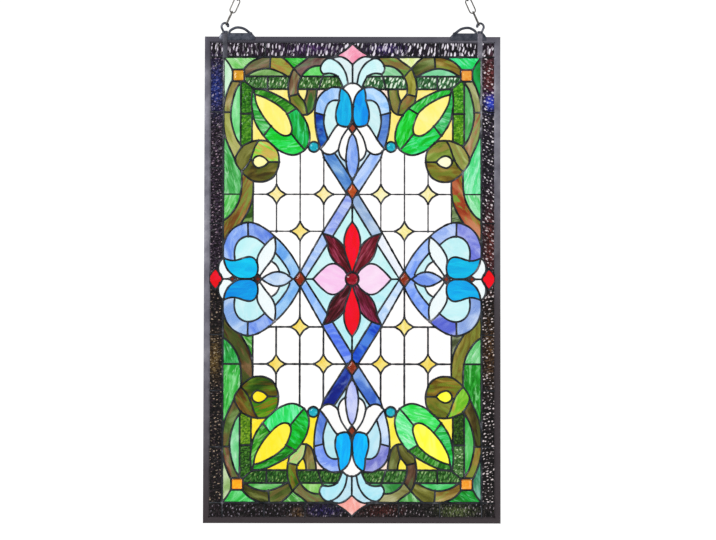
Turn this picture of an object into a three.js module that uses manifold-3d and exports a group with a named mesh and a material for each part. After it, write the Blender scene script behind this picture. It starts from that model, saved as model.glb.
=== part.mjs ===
// A stained glass suncatcher: a tall leaded panel in a metal channel frame, with two hangers
// on its top edge and a short run of chain to a hook above each.
// Millimetres, +Z up, the front of the panel faces -Y. The origin is midway between the
// bearing points of the two hooks, so everything hangs below it.

import * as THREE from 'three';
import { mergeVertices } from 'three/addons/utils/BufferGeometryUtils.js';
import Module from 'manifold-3d';

const wasm = await Module();
wasm.setup();

// ---------- driving dimensions ----------

const FRAME = { width: 508, height: 834, face: 9.3, depth: 8, web: 3.3, slot: 3.6, chamfer: 1 };
const GLASS = { thickness: 3, dome: 4.5, tableShare: 0.5 };
const LEAD = { width: 4, height: 1 };
const GAP = 0.3;
const BORDER = { x: 221.5, z: 382 };
const LATTICE = {
  columns: [49, 89.5, 130, 170], rows: [82, 145.5],
  starTip: 16, starWaist: 6.2, starOpening: 8,
};
const DIAMOND = { halfWidth: 10, halfHeight: 14, top: [0, 151], side: [89.5, 0] };
const CORNER_JEWEL = { centre: [196, 350], half: 10.2 };
const ROUND_JEWEL = { centre: [66.2, 227], radius: 10.2 };
const CENTRE_JEWEL = { radius: 11.5 };
const LINK = { length: 28.2, width: 12.5, wire: 2.2, slack: 0.4 };
const LINKS_PER_SIDE = 3;
const CHAIN_LEAN = THREE.MathUtils.degToRad(24.4);
const HOOK = { wire: 3, bend: 6, eye: [58, -265], open: [-85, 205] };
const SCROLL = {
  centre: [219.2, 434.3], foot: [221.3, 423], wire: 3.4, curl: 2.2,
  bend: 6.4, from: -35, tightFrom: 120, to: 195, tipBend: 4.2,
};
const SADDLE = {
  inner: 168, outer: 229, topInner: 173.5, topOuter: 225.5,
  top: 422.8, bottom: 410.5, wall: 1.6,
};
const STRAP = {
  x: 219, width: 8.4, thickness: 1.6, top: 426.5, bottom: 380,
  proud: 0.4, frontBend: [1, 7], backBend: [0.5, 6],
};
const ARCH = {
  points: [[212.3, 422.5], [211, 427], [203.8, 431.6], [196.5, 432.9],
    [187, 430.8], [179.5, 425.6], [173.6, 419.9]],
  bar: 4.3,
};

// ---------- materials ----------

const finish = (color, roughness, metalness = 0) =>
  new THREE.MeshStandardMaterial({ color, roughness, metalness });

const MATERIALS = {
  channel: finish(0x55505a, 0.45, 0.9),
  steel: finish(0x4a4a4e, 0.4, 0.9),
  lead: finish(0x343a36, 0.45, 0.8),
  field: finish(0xdfe6ea, 0.3),
  red: finish(0xe00018, 0.2),
  darkRed: finish(0x6c1a34, 0.2),
  pink: finish(0xf5c8ec, 0.2),
  kitePink: finish(0xf4a0b8, 0.2),
  turquoise: finish(0x0a9ad0, 0.2),
  teal: finish(0x1496a4, 0.1),
  yellow: finish(0xfff070, 0.25),
  amber: finish(0xd09030, 0.1),
  brown: finish(0x8a3010, 0.1),
};

// ---------- small drawing tools, all in the panel's own x, z plane ----------

const straight = (...points) => points.map(([x, z]) => new THREE.Vector2(x, z));
const bend = (steps, ...points) => new THREE.SplineCurve(straight(...points)).getPoints(steps);
const joined = (...runs) => runs.flat().filter((p, i, all) => i === 0 || p.distanceTo(all[i - 1]) > 0.05);
const loop = (...runs) => {
  const points = joined(...runs);
  return points[0].distanceTo(points.at(-1)) > 0.05 ? points : points.slice(0, -1);
};
const flipped = (points, sx, sz) => {
  const turned = points.map((p) => new THREE.Vector2(p.x * sx, p.y * sz));
  return sx * sz < 0 ? turned.reverse() : turned;
};

const rectangle = (halfX, halfZ) =>
  straight([halfX, halfZ], [-halfX, halfZ], [-halfX, -halfZ], [halfX, -halfZ]);

function circle([cx, cz], radius, sides) {
  const at = (i) => (2 * Math.PI * (i + 0.5)) / sides;
  return Array.from({ length: sides }, (_, i) =>
    new THREE.Vector2(cx + radius * Math.cos(at(i)), cz + radius * Math.sin(at(i))));
}

// The outline moved sideways by a distance, each corner to where its two moved edges meet.
function offset(points, distance, closed) {
  const count = points.length;
  const normal = (a, b) => new THREE.Vector2(b.y - a.y, a.x - b.x).normalize();
  return points.map((p, i) => {
    const before = closed || i > 0 ? normal(points[(i + count - 1) % count], p) : null;
    const after = closed || i < count - 1 ? normal(p, points[(i + 1) % count]) : null;
    const first = before ?? after;
    const second = after ?? before;
    const middle = first.clone().add(second).normalize();
    const stretch = Math.min(1 / Math.max(middle.dot(first), 0.2), 3.2);
    return p.clone().addScaledVector(middle, distance * stretch);
  });
}

// A closed outline, turned anticlockwise, shrunk by a distance.
function inset(points, distance) {
  const outline = THREE.ShapeUtils.isClockWise(points) ? points.slice().reverse() : points;
  return offset(outline, -distance, true);
}

// An upright slab with this outline between two depths, back at yBack and front at yFront.
function slab(outline, yBack, yFront, hole = null) {
  const shape = new THREE.Shape(outline);
  if (hole) {
    shape.holes.push(new THREE.Path(hole));
  }
  const geometry = new THREE.ExtrudeGeometry(shape, { depth: yBack - yFront, bevelEnabled: false });
  return geometry.rotateX(Math.PI / 2).translate(0, yBack, 0);
}

// ---------- solids ----------

function toSolid(geometry) {
  const bare = geometry.clone();
  bare.deleteAttribute('normal');
  bare.deleteAttribute('uv');
  const welded = mergeVertices(bare, 1e-4);
  return new wasm.Manifold(new wasm.Mesh({
    numProp: 3,
    vertProperties: Float32Array.from(welded.attributes.position.array),
    triVerts: Uint32Array.from(welded.index.array),
  }));
}

function toGeometry(solid) {
  const mesh = solid.getMesh();
  const geometry = new THREE.BufferGeometry();
  geometry.setAttribute('position', new THREE.BufferAttribute(mesh.vertProperties, 3));
  geometry.setIndex(new THREE.BufferAttribute(mesh.triVerts, 1));
  return geometry;
}

const unite = (solids) => wasm.Manifold.union(solids);

// ---------- the pattern: one quarter, mirrored across both axes ----------

// Glass pieces that are solids of their own, by outline: the leading runs round each.
const petalRed = straight([0, 10], [12.5, 42], [12.5, 74], [0, 98.5]);
const petalDark = loop(
  straight([50, 78], [13, 66], [12.5, 38], [4, 15]),
  bend(4, [4, 15], [14, 14], [33, 32], [42, 58], [50, 78]),
);
const petalPink = straight([10, 9], [24, 25], [44, 24], [67, 0]);
const petalTurquoiseEnd = loop(bend(8, [20, 329.5], [23, 310], [28.5, 286], [25, 266], [13, 261.5],
  [2.5, 267], [0.4, 290], [6, 316], [20, 329.5]));
const petalTurquoiseSide = loop(bend(8, [220.5, 35], [200, 31.5], [184, 37.5], [167, 34], [162, 18],
  [168, 4], [184, 0.6], [205, 7], [220.5, 35]));
const heart = loop(bend(8, [168.5, 317.5], [158, 287], [139, 261.5], [116, 245.5], [105, 253],
  [108, 276], [124, 296.5], [145, 309.5], [168.5, 317.5]));
const diamondAt = ([cx, cz], halfWidth, halfHeight) =>
  straight([cx, cz + halfHeight], [cx + halfWidth, cz], [cx, cz - halfHeight], [cx - halfWidth, cz]);
const kiteTop = straight([0, 405], [12, 392], [31, 383], [0, 371]);
const squareAt = ([cx, cz], half) =>
  straight([cx + half, cz + half], [cx - half, cz + half], [cx - half, cz - half], [cx + half, cz - half]);

// A pale diamond with hollow sides where the lattice lines cross.
function starOutline([cx, cz]) {
  const { starTip: tip, starWaist: waist } = LATTICE;
  return straight([cx + tip, cz], [cx + waist, cz + waist], [cx, cz + tip], [cx - waist, cz + waist],
    [cx - tip, cz], [cx - waist, cz - waist], [cx, cz - tip], [cx + waist, cz - waist]);
}

function latticeLines() {
  const [c1, c2, c3, c4] = LATTICE.columns;
  const [low, high] = LATTICE.rows;
  const tip = LATTICE.starTip - 2;
  return [
    straight([c1, 214], [c1, high + tip]),
    straight([c1, high - tip], [c1, low]),
    straight([c2, 214], [c2, low + tip]),
    straight([c2, low - tip], [c2, DIAMOND.halfHeight - 2]),
    straight([c3, 178], [c3, high + tip]),
    straight([c3, high - tip], [c3, low]),
    straight([DIAMOND.halfWidth, high], [c1 - tip, high]),
    straight([c1 + tip, high], [c3 - tip, high]),
    straight([c3 + tip, high], [c4, high]),
    straight([50, low], [c2 - tip, low]),
    straight([c2 + tip, low], [142, low]),
  ];
}

function bandLines() {
  return [
    straight([9, 147], [50, 80], [86, 15]),
    straight([0, 128], [33, 74]),
    straight([42, 61], [77, 7]),
    straight([7, 145], [49, 209]),
    straight([0, 170], [31, 215], [57, 225]),
    straight([92, 8], [112, 46], [133, 73]),
  ];
}

function fleurLines() {
  return [
    straight([36, 381], [50, 375], [54, 355], [29, 351], [16, 330]),
    bend(4, [21, 328.5], [43, 327], [62, 304], [64.5, 268], [57, 231]),
    bend(3, [23, 307], [41, 303], [49, 271], [42.5, 241]),
  ];
}

function medallionLines() {
  return [
    bend(4, [133, 73], [153, 90], [180, 97], [210, 82], [221, 45]),
    bend(3, [150, 59], [169, 72], [195, 66], [201, 33]),
  ];
}

function vineLines() {
  return [
    // tall vine down the side
    bend(3, [193, 338], [207, 306], [207, 262], [190, 228]),
    straight([221.5, 264], [214, 232], [200, 203]),
    // lower vine that sweeps out to the border
    straight([170, 172], [171, 145], [191, 96]),
    bend(3, [190, 186], [192, 145], [203, 118], [221.5, 100]),
    // arch across the corner
    straight([187, 347], [166, 359], [130, 359], [109, 348]),
    // loop between the plume and the leaf
    straight([76, 382], [103, 359], [110, 322], [82, 283], [66, 292], [61, 327]),
  ];
}

function curlLines() {
  return [
    bend(7, [191, 228], [165, 239], [135, 229], [126, 197], [143, 170], [177, 170], [191, 186], [201, 204]),
  ];
}

function stripLines() {
  return [
    straight([54, 348.5], [CORNER_JEWEL.centre[0] - CORNER_JEWEL.half, 348.5]),
    straight([23, 327], [168, 327]),
  ];
}

function borderLines() {
  const past = LEAD.width / 2;
  return [
    straight([-past, BORDER.z], [BORDER.x + past, BORDER.z]),
    straight([BORDER.x, BORDER.z], [BORDER.x, -past]),
  ];
}

// Closed lead rings whose glass stays part of the field: the leaf's rim and the stars.
const leafRim = loop(bend(8, [171, 328], [133, 317.5], [97, 293], [75, 259], [79, 224],
  [107, 213], [142, 234], [166, 268], [171, 328]));

function fieldRings() {
  const stars = [[0, 1], [2, 1], [1, 0]].map(([column, row]) => {
    const centre = [LATTICE.columns[column], LATTICE.rows[row]];
    return leadRing(starOutline(centre), diamondAt(centre, LATTICE.starOpening, LATTICE.starOpening));
  });
  return [leadRing(leafRim, inset(leafRim, LEAD.width / 2)), ...stars];
}

// Every separate glass piece: its name, outline, colour, and how it is repeated.
const alongBoth = [
  ['top_left', -1, 1], ['top_right', 1, 1],
  ['bottom_left', -1, -1], ['bottom_right', 1, -1],
];
const upAndDown = [['top', 1, 1], ['bottom', 1, -1]];
const sideways = [['left', -1, 1], ['right', 1, 1]];
const mirrorAcross = (points) => points.reverse().map((p) => new THREE.Vector2(-p.x, p.y));
const mirrorUp = (points) => points.reverse().map((p) => new THREE.Vector2(p.x, -p.y));
const wholeAcross = (half) => joined(half, mirrorAcross(half.slice(1, -1)));
const wholeUp = (half) => joined(half, mirrorUp(half.slice(0, -1)));

const PIECES = [
  { name: 'petal_red', outline: wholeAcross(petalRed), copies: upAndDown, finish: 'red' },
  { name: 'petal_dark_red', outline: petalDark, copies: alongBoth, finish: 'darkRed' },
  { name: 'petal_pink', outline: wholeUp(petalPink), copies: sideways, finish: 'pink' },
  { name: 'petal_turquoise_end', outline: petalTurquoiseEnd, copies: alongBoth, finish: 'turquoise' },
  { name: 'petal_turquoise_side', outline: petalTurquoiseSide, copies: alongBoth, finish: 'turquoise' },
  { name: 'leaf_heart', outline: heart, copies: alongBoth, finish: 'yellow' },
  { name: 'kite_pink', outline: wholeAcross(kiteTop), copies: upAndDown, finish: 'kitePink' },
  { name: 'kite_red', outline: diamondAt([232.8, 0], 10.8, 18), copies: sideways, finish: 'red' },
  { name: 'jewel_centre', outline: circle([0, 0], CENTRE_JEWEL.radius, 12), copies: [['', 1, 1]],
    finish: 'red', jewel: true },
  { name: 'jewel_round', outline: circle(ROUND_JEWEL.centre, ROUND_JEWEL.radius, 8), copies: alongBoth,
    finish: 'teal', jewel: true },
  { name: 'jewel_square', outline: squareAt(CORNER_JEWEL.centre, CORNER_JEWEL.half), copies: alongBoth,
    finish: 'amber', jewel: true },
  { name: 'jewel_diamond', outline: diamondAt(DIAMOND.top, DIAMOND.halfWidth, DIAMOND.halfHeight),
    copies: upAndDown, finish: 'brown', jewel: true },
  { name: 'jewel_diamond', outline: diamondAt(DIAMOND.side, DIAMOND.halfWidth, DIAMOND.halfHeight),
    copies: sideways, finish: 'brown', jewel: true },
];

// ---------- the field, which is all other glass in one sheet, and the lead lines on its front ----------

const glassBack = GLASS.thickness / 2;
const glassFront = -GLASS.thickness / 2;
const leadRoot = glassFront - GAP;
const leadFront = leadRoot - LEAD.height;

function leadLine(points) {
  const left = offset(points, LEAD.width / 2, false);
  const right = offset(points, -LEAD.width / 2, false);
  return toSolid(slab([...left, ...right.reverse()], leadRoot, leadFront));
}

function leadRing(outline, hole = null) {
  return toSolid(slab(inset(outline, -LEAD.width / 2), leadRoot, leadFront, hole));
}

const pieceOutlines = PIECES.flatMap((piece) =>
  piece.copies.map(([, sx, sz]) => flipped(piece.outline, sx, sz)));
const openings = unite(pieceOutlines.map((outline) =>
  toSolid(slab(inset(outline, LEAD.width / 2 - GAP), glassBack + 1, leadFront - 1))));

function glassField() {
  const reach = FRAME.web + GAP;
  const outline = rectangle(FRAME.width / 2 - reach, FRAME.height / 2 - reach);
  return toGeometry(toSolid(slab(outline, glassBack, glassFront)).subtract(openings));
}

function leadNetwork() {
  const lines = [latticeLines, bandLines, fleurLines, medallionLines, vineLines, curlLines,
    stripLines, borderLines].flatMap((motif) => motif());
  const quarter = unite([...lines.map(leadLine), ...fieldRings()]);
  const half = unite([quarter, quarter.mirror([1, 0, 0])]);
  const reach = FRAME.face + GAP;
  const inLips = rectangle(FRAME.width / 2 - reach, FRAME.height / 2 - reach);
  const network = unite([half, half.mirror([0, 0, 1]), ...pieceOutlines.map((outline) => leadRing(outline))])
    .intersect(toSolid(slab(inLips, glassBack, leadFront - 1)))
    .subtract(openings);
  return toGeometry(network.simplify(0.02));
}

// ---------- pieces of glass that stand in the openings ----------

function flatPiece(outline) {
  return slab(inset(outline, LEAD.width / 2), glassBack, glassFront);
}

// A jewel is pressed glass: a girdle in the opening, then a facet ring and a flat table in front.
function jewelPiece(outline) {
  const girdle = inset(outline, LEAD.width / 2);
  const centre = girdle.reduce((sum, p) => sum.add(p), new THREE.Vector2()).divideScalar(girdle.length);
  const table = girdle.map((p) => p.clone().lerp(centre, GLASS.tableShare));
  const rings = [
    girdle.map((p) => [p.x, glassBack, p.y]),
    girdle.map((p) => [p.x, leadFront, p.y]),
    table.map((p) => [p.x, -GLASS.dome, p.y]),
  ];
  const count = girdle.length;
  const position = rings.flat(2);
  const index = [];
  for (let ring = 0; ring < 2; ring += 1) {
    for (let i = 0; i < count; i += 1) {
      const a = ring * count + i;
      const b = ring * count + ((i + 1) % count);
      index.push(a, b, b + count, a, b + count, a + count);
    }
  }
  for (let i = 1; i < count - 1; i += 1) {
    index.push(0, i + 1, i);
    index.push(2 * count, 2 * count + i, 2 * count + i + 1);
  }
  const geometry = new THREE.BufferGeometry();
  geometry.setAttribute('position', new THREE.Float32BufferAttribute(position, 3));
  geometry.setIndex(index);
  return geometry;
}

// ---------- frame ----------

// One bar of the channel frame along +X, its web at z = 0 and its open side up, mitred both ends.
function frameBar(length) {
  const { face, depth, web, slot, chamfer } = FRAME;
  const side = depth / 2;
  const lip = slot / 2;
  const profile = [[0, -side + chamfer], [chamfer, -side], [face, -side], [face, -lip], [web, -lip],
    [web, lip], [face, lip], [face, side], [chamfer, side], [0, side - chamfer]];
  const shape = new THREE.Shape(profile.map(([up, across]) => new THREE.Vector2(across, up)));
  const bar = new THREE.ExtrudeGeometry(shape, { depth: length, bevelEnabled: false });
  bar.rotateX(Math.PI / 2).rotateZ(Math.PI / 2).translate(-length / 2, 0, 0);
  const at = bar.attributes.position;
  for (let i = 0; i < at.count; i += 1) {
    const cut = Math.abs(at.getZ(i)) + GAP / Math.SQRT2;
    at.setX(i, at.getX(i) - Math.sign(at.getX(i)) * cut);
  }
  return bar;
}

// ---------- wire work ----------

// Wire along a path in the x, z plane, with flat ends or closed on itself.
class PlanePath extends THREE.Curve {
  constructor(points, closed) {
    super();
    this.inner = new THREE.CatmullRomCurve3(points, closed, 'centripetal');
  }

  getPoint(t, target = new THREE.Vector3()) {
    return this.inner.getPoint(t, target);
  }

  // Frames that keep one side of the wire square to the plane, so that it never twists.
  computeFrenetFrames(segments) {
    const tangents = [];
    const normals = [];
    const binormals = [];
    for (let i = 0; i <= segments; i += 1) {
      const tangent = this.getTangentAt(i / segments);
      const binormal = new THREE.Vector3(0, 1, 0);
      tangents.push(tangent);
      normals.push(binormal.clone().cross(tangent).normalize());
      binormals.push(binormal);
    }
    return { tangents, normals, binormals };
  }
}

function ringSection(diameter, sides) {
  return new THREE.Shape(circle([0, 0], diameter / 2, sides));
}

function wire(points, diameter, steps, sides = 6) {
  const path = new PlanePath(points, false);
  return new THREE.ExtrudeGeometry(ringSection(diameter, sides),
    { steps, extrudePath: path, bevelEnabled: false });
}

function arcPoints([cx, cz], radius, fromDegrees, toDegrees, count) {
  return Array.from({ length: count + 1 }, (_, i) => {
    const angle = THREE.MathUtils.degToRad(fromDegrees + ((toDegrees - fromDegrees) * i) / count);
    return new THREE.Vector3(cx + radius * Math.cos(angle), 0, cz + radius * Math.sin(angle));
  });
}

// A closed ring of wire swept through given centre points, joined end to end.
function closedWire(points, diameter, sides) {
  const count = points.length;
  const position = [];
  const index = [];
  for (let i = 0; i < count; i += 1) {
    const before = points[(i + count - 1) % count];
    const after = points[(i + 1) % count];
    const tangent = after.clone().sub(before).normalize();
    const outward = new THREE.Vector3(0, 1, 0).cross(tangent);
    for (let j = 0; j < sides; j += 1) {
      const angle = (2 * Math.PI * (j + 0.5)) / sides;
      const p = points[i].clone().addScaledVector(outward, (diameter / 2) * Math.cos(angle));
      position.push(p.x, (diameter / 2) * Math.sin(angle), p.z);
      const a = i * sides + j;
      const b = i * sides + ((j + 1) % sides);
      const c = ((i + 1) % count) * sides + j;
      const d = ((i + 1) % count) * sides + ((j + 1) % sides);
      index.push(a, b, d, a, d, c);
    }
  }
  const geometry = new THREE.BufferGeometry();
  geometry.setAttribute('position', new THREE.Float32BufferAttribute(position, 3));
  geometry.setIndex(index);
  return geometry;
}

// A chain link standing in the x, z plane, its long axis along z.
function chainLink() {
  const bendRadius = (LINK.width - LINK.wire) / 2;
  const reach = LINK.length / 2 - LINK.wire / 2 - bendRadius;
  const top = arcPoints([0, reach], bendRadius, 0, 180, 4);
  const bottom = arcPoints([0, -reach], bendRadius, 180, 360, 4);
  return closedWire([...top, ...bottom], LINK.wire, 5);
}

// An S-hook in the x, z plane: a closed eye below and an open bend above, stacked on z.
function endHook() {
  const eye = arcPoints([0, 0], HOOK.bend, ...HOOK.eye, 9);
  const open = arcPoints([0, 2 * HOOK.bend], HOOK.bend, ...HOOK.open, 9);
  return wire([...eye, ...open], HOOK.wire, 15, 5);
}

// ---------- hanger: saddle on the frame, strap over the border, arch and scroll ----------

// The scroll's line: from its foot round the bend, whose radius tightens towards the tip.
function scrollLine() {
  const { centre: [cx, cz], foot, bend: wide, from, tightFrom, to, tipBend } = SCROLL;
  const steps = 10;
  const round = Array.from({ length: steps + 1 }, (_, i) => {
    const degrees = from + ((to - from) * i) / steps;
    const tight = THREE.MathUtils.clamp((degrees - tightFrom) / (to - tightFrom), 0, 1);
    const radius = THREE.MathUtils.lerp(wide, tipBend, tight);
    const angle = THREE.MathUtils.degToRad(degrees);
    return new THREE.Vector3(cx + radius * Math.cos(angle), 0, cz + radius * Math.sin(angle));
  });
  return [new THREE.Vector3(foot[0], 0, foot[1]), ...round];
}

// The strap lies on the saddle's front, bends back under the channel's lip and ends over the border.
function strapBar(saddleFront) {
  const { x, width, thickness, top, bottom, proud, frontBend, backBend } = STRAP;
  const lipZ = FRAME.height / 2 - FRAME.face;
  const front = saddleFront - thickness - proud;
  const stepIn = leadFront - GAP;
  const side = [
    [saddleFront, top], [front, top], [front, lipZ - frontBend[0]],
    [stepIn - thickness, lipZ - frontBend[1]], [stepIn - thickness, bottom],
    [stepIn, bottom], [stepIn, lipZ - backBend[1]], [saddleFront, lipZ - backBend[0]],
  ];
  return new THREE.ExtrudeGeometry(new THREE.Shape(straight(...side)), { depth: width, bevelEnabled: false })
    .rotateX(Math.PI / 2).rotateZ(Math.PI / 2).translate(x - width / 2, 0, 0);
}

function hangerRight() {
  const { inner, outer, topInner, topOuter, top, bottom, wall } = SADDLE;
  const half = FRAME.depth / 2 + GAP;
  const rail = FRAME.height / 2 + GAP;
  const front = [
    [inner, bottom], [outer, bottom], [outer, rail],
    [topOuter, top], [topInner, top], [inner, rail],
  ];
  const block = toSolid(slab(straight(...front), half + wall, -half - wall));
  const groove = toSolid(new THREE.BoxGeometry(2 * outer, 2 * half, 2 * (rail - bottom))
    .translate(outer, 0, bottom));
  const arch = toSolid(wire(ARCH.points.map(([x, z]) => new THREE.Vector3(x, 0, z)), ARCH.bar, 9, 6));
  const line = scrollLine();
  const scroll = toSolid(wire(line, SCROLL.wire, 12, 5));
  const curl = toSolid(new THREE.SphereGeometry(SCROLL.curl, 6, 3).translate(...line.at(-1).toArray()));
  return toGeometry(unite([block.subtract(groove), arch, scroll, curl, toSolid(strapBar(-half))]));
}

// ---------- assembly ----------

// Chain: where the first link bears in the scroll, and the direction the chain runs.
const run = new THREE.Vector3(-Math.sin(CHAIN_LEAN), 0, Math.cos(CHAIN_LEAN));
const along = (start, distance) => start.clone().addScaledVector(run, distance);
const scrollTop = along(new THREE.Vector3(SCROLL.centre[0], 0, SCROLL.centre[1]), SCROLL.bend);
const pitch = LINK.length - 2 * LINK.wire - LINK.slack;
const firstLink = along(scrollTop, LINK.length / 2 - LINK.wire - SCROLL.wire / 2 - LINK.slack);
const lastLink = along(firstLink, pitch * (LINKS_PER_SIDE - 1));
const hookEye = along(lastLink, LINK.length / 2 - LINK.wire - HOOK.wire / 2 - LINK.slack + HOOK.bend);
const bearing = along(hookEye, 3 * HOOK.bend - HOOK.wire / 2);
const drop = bearing.z;

const suncatcher = new THREE.Group();
suncatcher.name = 'stained_glass_suncatcher';

const panel = new THREE.Group();
panel.position.z = -drop;
suncatcher.add(panel);

function place(name, geometry, material, parent = panel) {
  const mesh = new THREE.Mesh(geometry, MATERIALS[material]);
  mesh.name = name;
  parent.add(mesh);
  return mesh;
}

place('glass_field', glassField(), 'field');
place('lead_lines', leadNetwork(), 'lead');

for (const piece of PIECES) {
  for (const [where, sx, sz] of piece.copies) {
    const outline = flipped(piece.outline, sx, sz);
    const geometry = piece.jewel ? jewelPiece(outline) : flatPiece(outline);
    place(where ? `${piece.name}_${where}` : piece.name, geometry, piece.finish);
  }
}

const bars = [
  ['frame_bottom', FRAME.width, 0, -FRAME.height / 2, 0],
  ['frame_top', FRAME.width, 0, FRAME.height / 2, Math.PI],
  ['frame_left', FRAME.height, -FRAME.width / 2, 0, Math.PI / 2],
  ['frame_right', FRAME.height, FRAME.width / 2, 0, -Math.PI / 2],
];
for (const [name, length, x, z, turn] of bars) {
  const mesh = place(name, frameBar(length), 'channel');
  mesh.position.set(x, 0, z);
  mesh.rotation.y = turn;
}

const hanger = hangerRight();
const link = chainLink();
const hook = endHook();
for (const [where, sx] of [['left', -1], ['right', 1]]) {
  const mirrored = (geometry) =>
    (sx > 0 ? geometry.clone() : toGeometry(toSolid(geometry).mirror([1, 0, 0])));
  place(`hanger_${where}`, mirrored(hanger), 'channel');
  for (let i = 0; i < LINKS_PER_SIDE; i += 1) {
    const at = along(firstLink, pitch * i);
    const mesh = place(`chain_link_${where}_${i + 1}`, link.clone(), 'steel');
    mesh.position.set(sx * at.x, 0, at.z);
    mesh.rotation.set(0, -sx * CHAIN_LEAN, i % 2 === 0 ? Math.PI / 2 : 0);
  }
  const mesh = place(`hanging_hook_${where}`, mirrored(hook), 'steel');
  mesh.position.set(sx * hookEye.x, 0, hookEye.z);
  mesh.rotation.y = -sx * CHAIN_LEAN;
}

export default suncatcher;
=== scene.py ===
# A stained glass suncatcher: a leaded panel in a zinc channel frame, hung on two short chains.
import math

import bpy
import numpy as np
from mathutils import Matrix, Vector
from mathutils.geometry import delaunay_2d_cdt


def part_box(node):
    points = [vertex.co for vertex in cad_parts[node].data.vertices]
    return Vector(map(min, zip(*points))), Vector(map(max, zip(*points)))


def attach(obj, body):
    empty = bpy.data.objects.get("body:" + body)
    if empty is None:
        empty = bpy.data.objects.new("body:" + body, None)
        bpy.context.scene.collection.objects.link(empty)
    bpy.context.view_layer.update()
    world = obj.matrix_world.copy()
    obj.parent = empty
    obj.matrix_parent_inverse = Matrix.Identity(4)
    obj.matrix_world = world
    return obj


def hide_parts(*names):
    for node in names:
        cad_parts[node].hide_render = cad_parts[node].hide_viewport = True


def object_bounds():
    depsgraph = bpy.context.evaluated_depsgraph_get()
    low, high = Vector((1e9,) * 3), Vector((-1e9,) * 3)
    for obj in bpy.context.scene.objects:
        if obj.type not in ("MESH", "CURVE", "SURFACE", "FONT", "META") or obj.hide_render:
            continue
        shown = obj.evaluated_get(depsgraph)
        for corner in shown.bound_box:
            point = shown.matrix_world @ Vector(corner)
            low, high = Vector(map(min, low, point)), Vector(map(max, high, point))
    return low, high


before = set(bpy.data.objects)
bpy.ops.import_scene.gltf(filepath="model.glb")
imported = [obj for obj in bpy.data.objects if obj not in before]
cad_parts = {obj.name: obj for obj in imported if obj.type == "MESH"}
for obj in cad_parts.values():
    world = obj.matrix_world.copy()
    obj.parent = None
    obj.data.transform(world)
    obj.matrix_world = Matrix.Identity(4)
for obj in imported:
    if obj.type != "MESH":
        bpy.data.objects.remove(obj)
cadLow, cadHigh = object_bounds()
print("frame loaded:", len(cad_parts), "nodes")

mm = 0.001
barLow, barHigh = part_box("frame_left")
panelMiddle = (barLow.z + barHigh.z) / 2           # the drawing is in millimetres from the panel's middle

camera = {
    "lens": 85.0,             # millimetres
    "sensor": 36.0,
    "distance": 2.8985,       # metres in front of the glass
    "aim": (10.1, 15.7),      # millimetres from the panel's middle
    "rise": 1.55,             # degrees that it looks up from below the middle
    "roll": -0.1,             # degrees
    "farthest": 30.0,         # metres that it sees
}


# Stands the camera off from its aim: back by the distance times cos(rise), and down by it times sin(rise).
def setCamera():
    data = bpy.data.cameras.new("camera")
    data.lens = camera["lens"]
    data.sensor_width = camera["sensor"]
    data.clip_end = camera["farthest"]
    eye = bpy.data.objects.new("camera", data)
    rise = math.radians(camera["rise"])
    aimX, aimZ = camera["aim"]
    eye.location = (aimX * mm, -camera["distance"] * math.cos(rise),
                    panelMiddle + aimZ * mm - camera["distance"] * math.sin(rise))
    eye.rotation_euler = (math.radians(90) + rise, math.radians(camera["roll"]), 0)
    bpy.context.scene.collection.objects.link(eye)
    bpy.context.scene.camera = eye
    bpy.context.scene.view_settings.view_transform = "Standard"


setCamera()
print("camera set")

# A shape is points (n, 3) in millimetres from the panel's middle, with faces as an (m, 4) array of their
# numbers, in which a triangle repeats its third corner.


# Several shapes as one: each one's numbers are raised by the count of the points before it.
def joinShapes(shapes):
    starts = np.cumsum([0] + [len(points) for points, _ in shapes])
    return (np.concatenate([points for points, _ in shapes]),
            np.concatenate([faces + start for (_, faces), start in zip(shapes, starts)]))


# Turns faces over: a quad's corners in reverse, and a triangle's first two exchanged.
def flipFaces(faces):
    triangle = (faces[:, 2] == faces[:, 3])[:, None]
    return np.where(triangle, faces[:, [1, 0, 2, 3]], faces[:, ::-1])


# Each point times (sx, sy, sz), with the faces turned over when an odd number of the three is negative.
def mirrored(shape, sx=1, sz=1, sy=1):
    points, faces = shape
    return points * (sx, sy, sz), faces if sx * sy * sz > 0 else flipFaces(faces)


# The shape with its faces outward, where six times its volume, the sum of its corners' triple products, is
# positive.
def outward(shape):
    points, faces = shape
    a, b, c, d = (points[faces[:, i]] for i in range(4))
    volume = (np.cross(a, b) * c).sum() + (np.cross(a, c) * d).sum()
    return points, faces if volume > 0 else flipFaces(faces)


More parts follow.
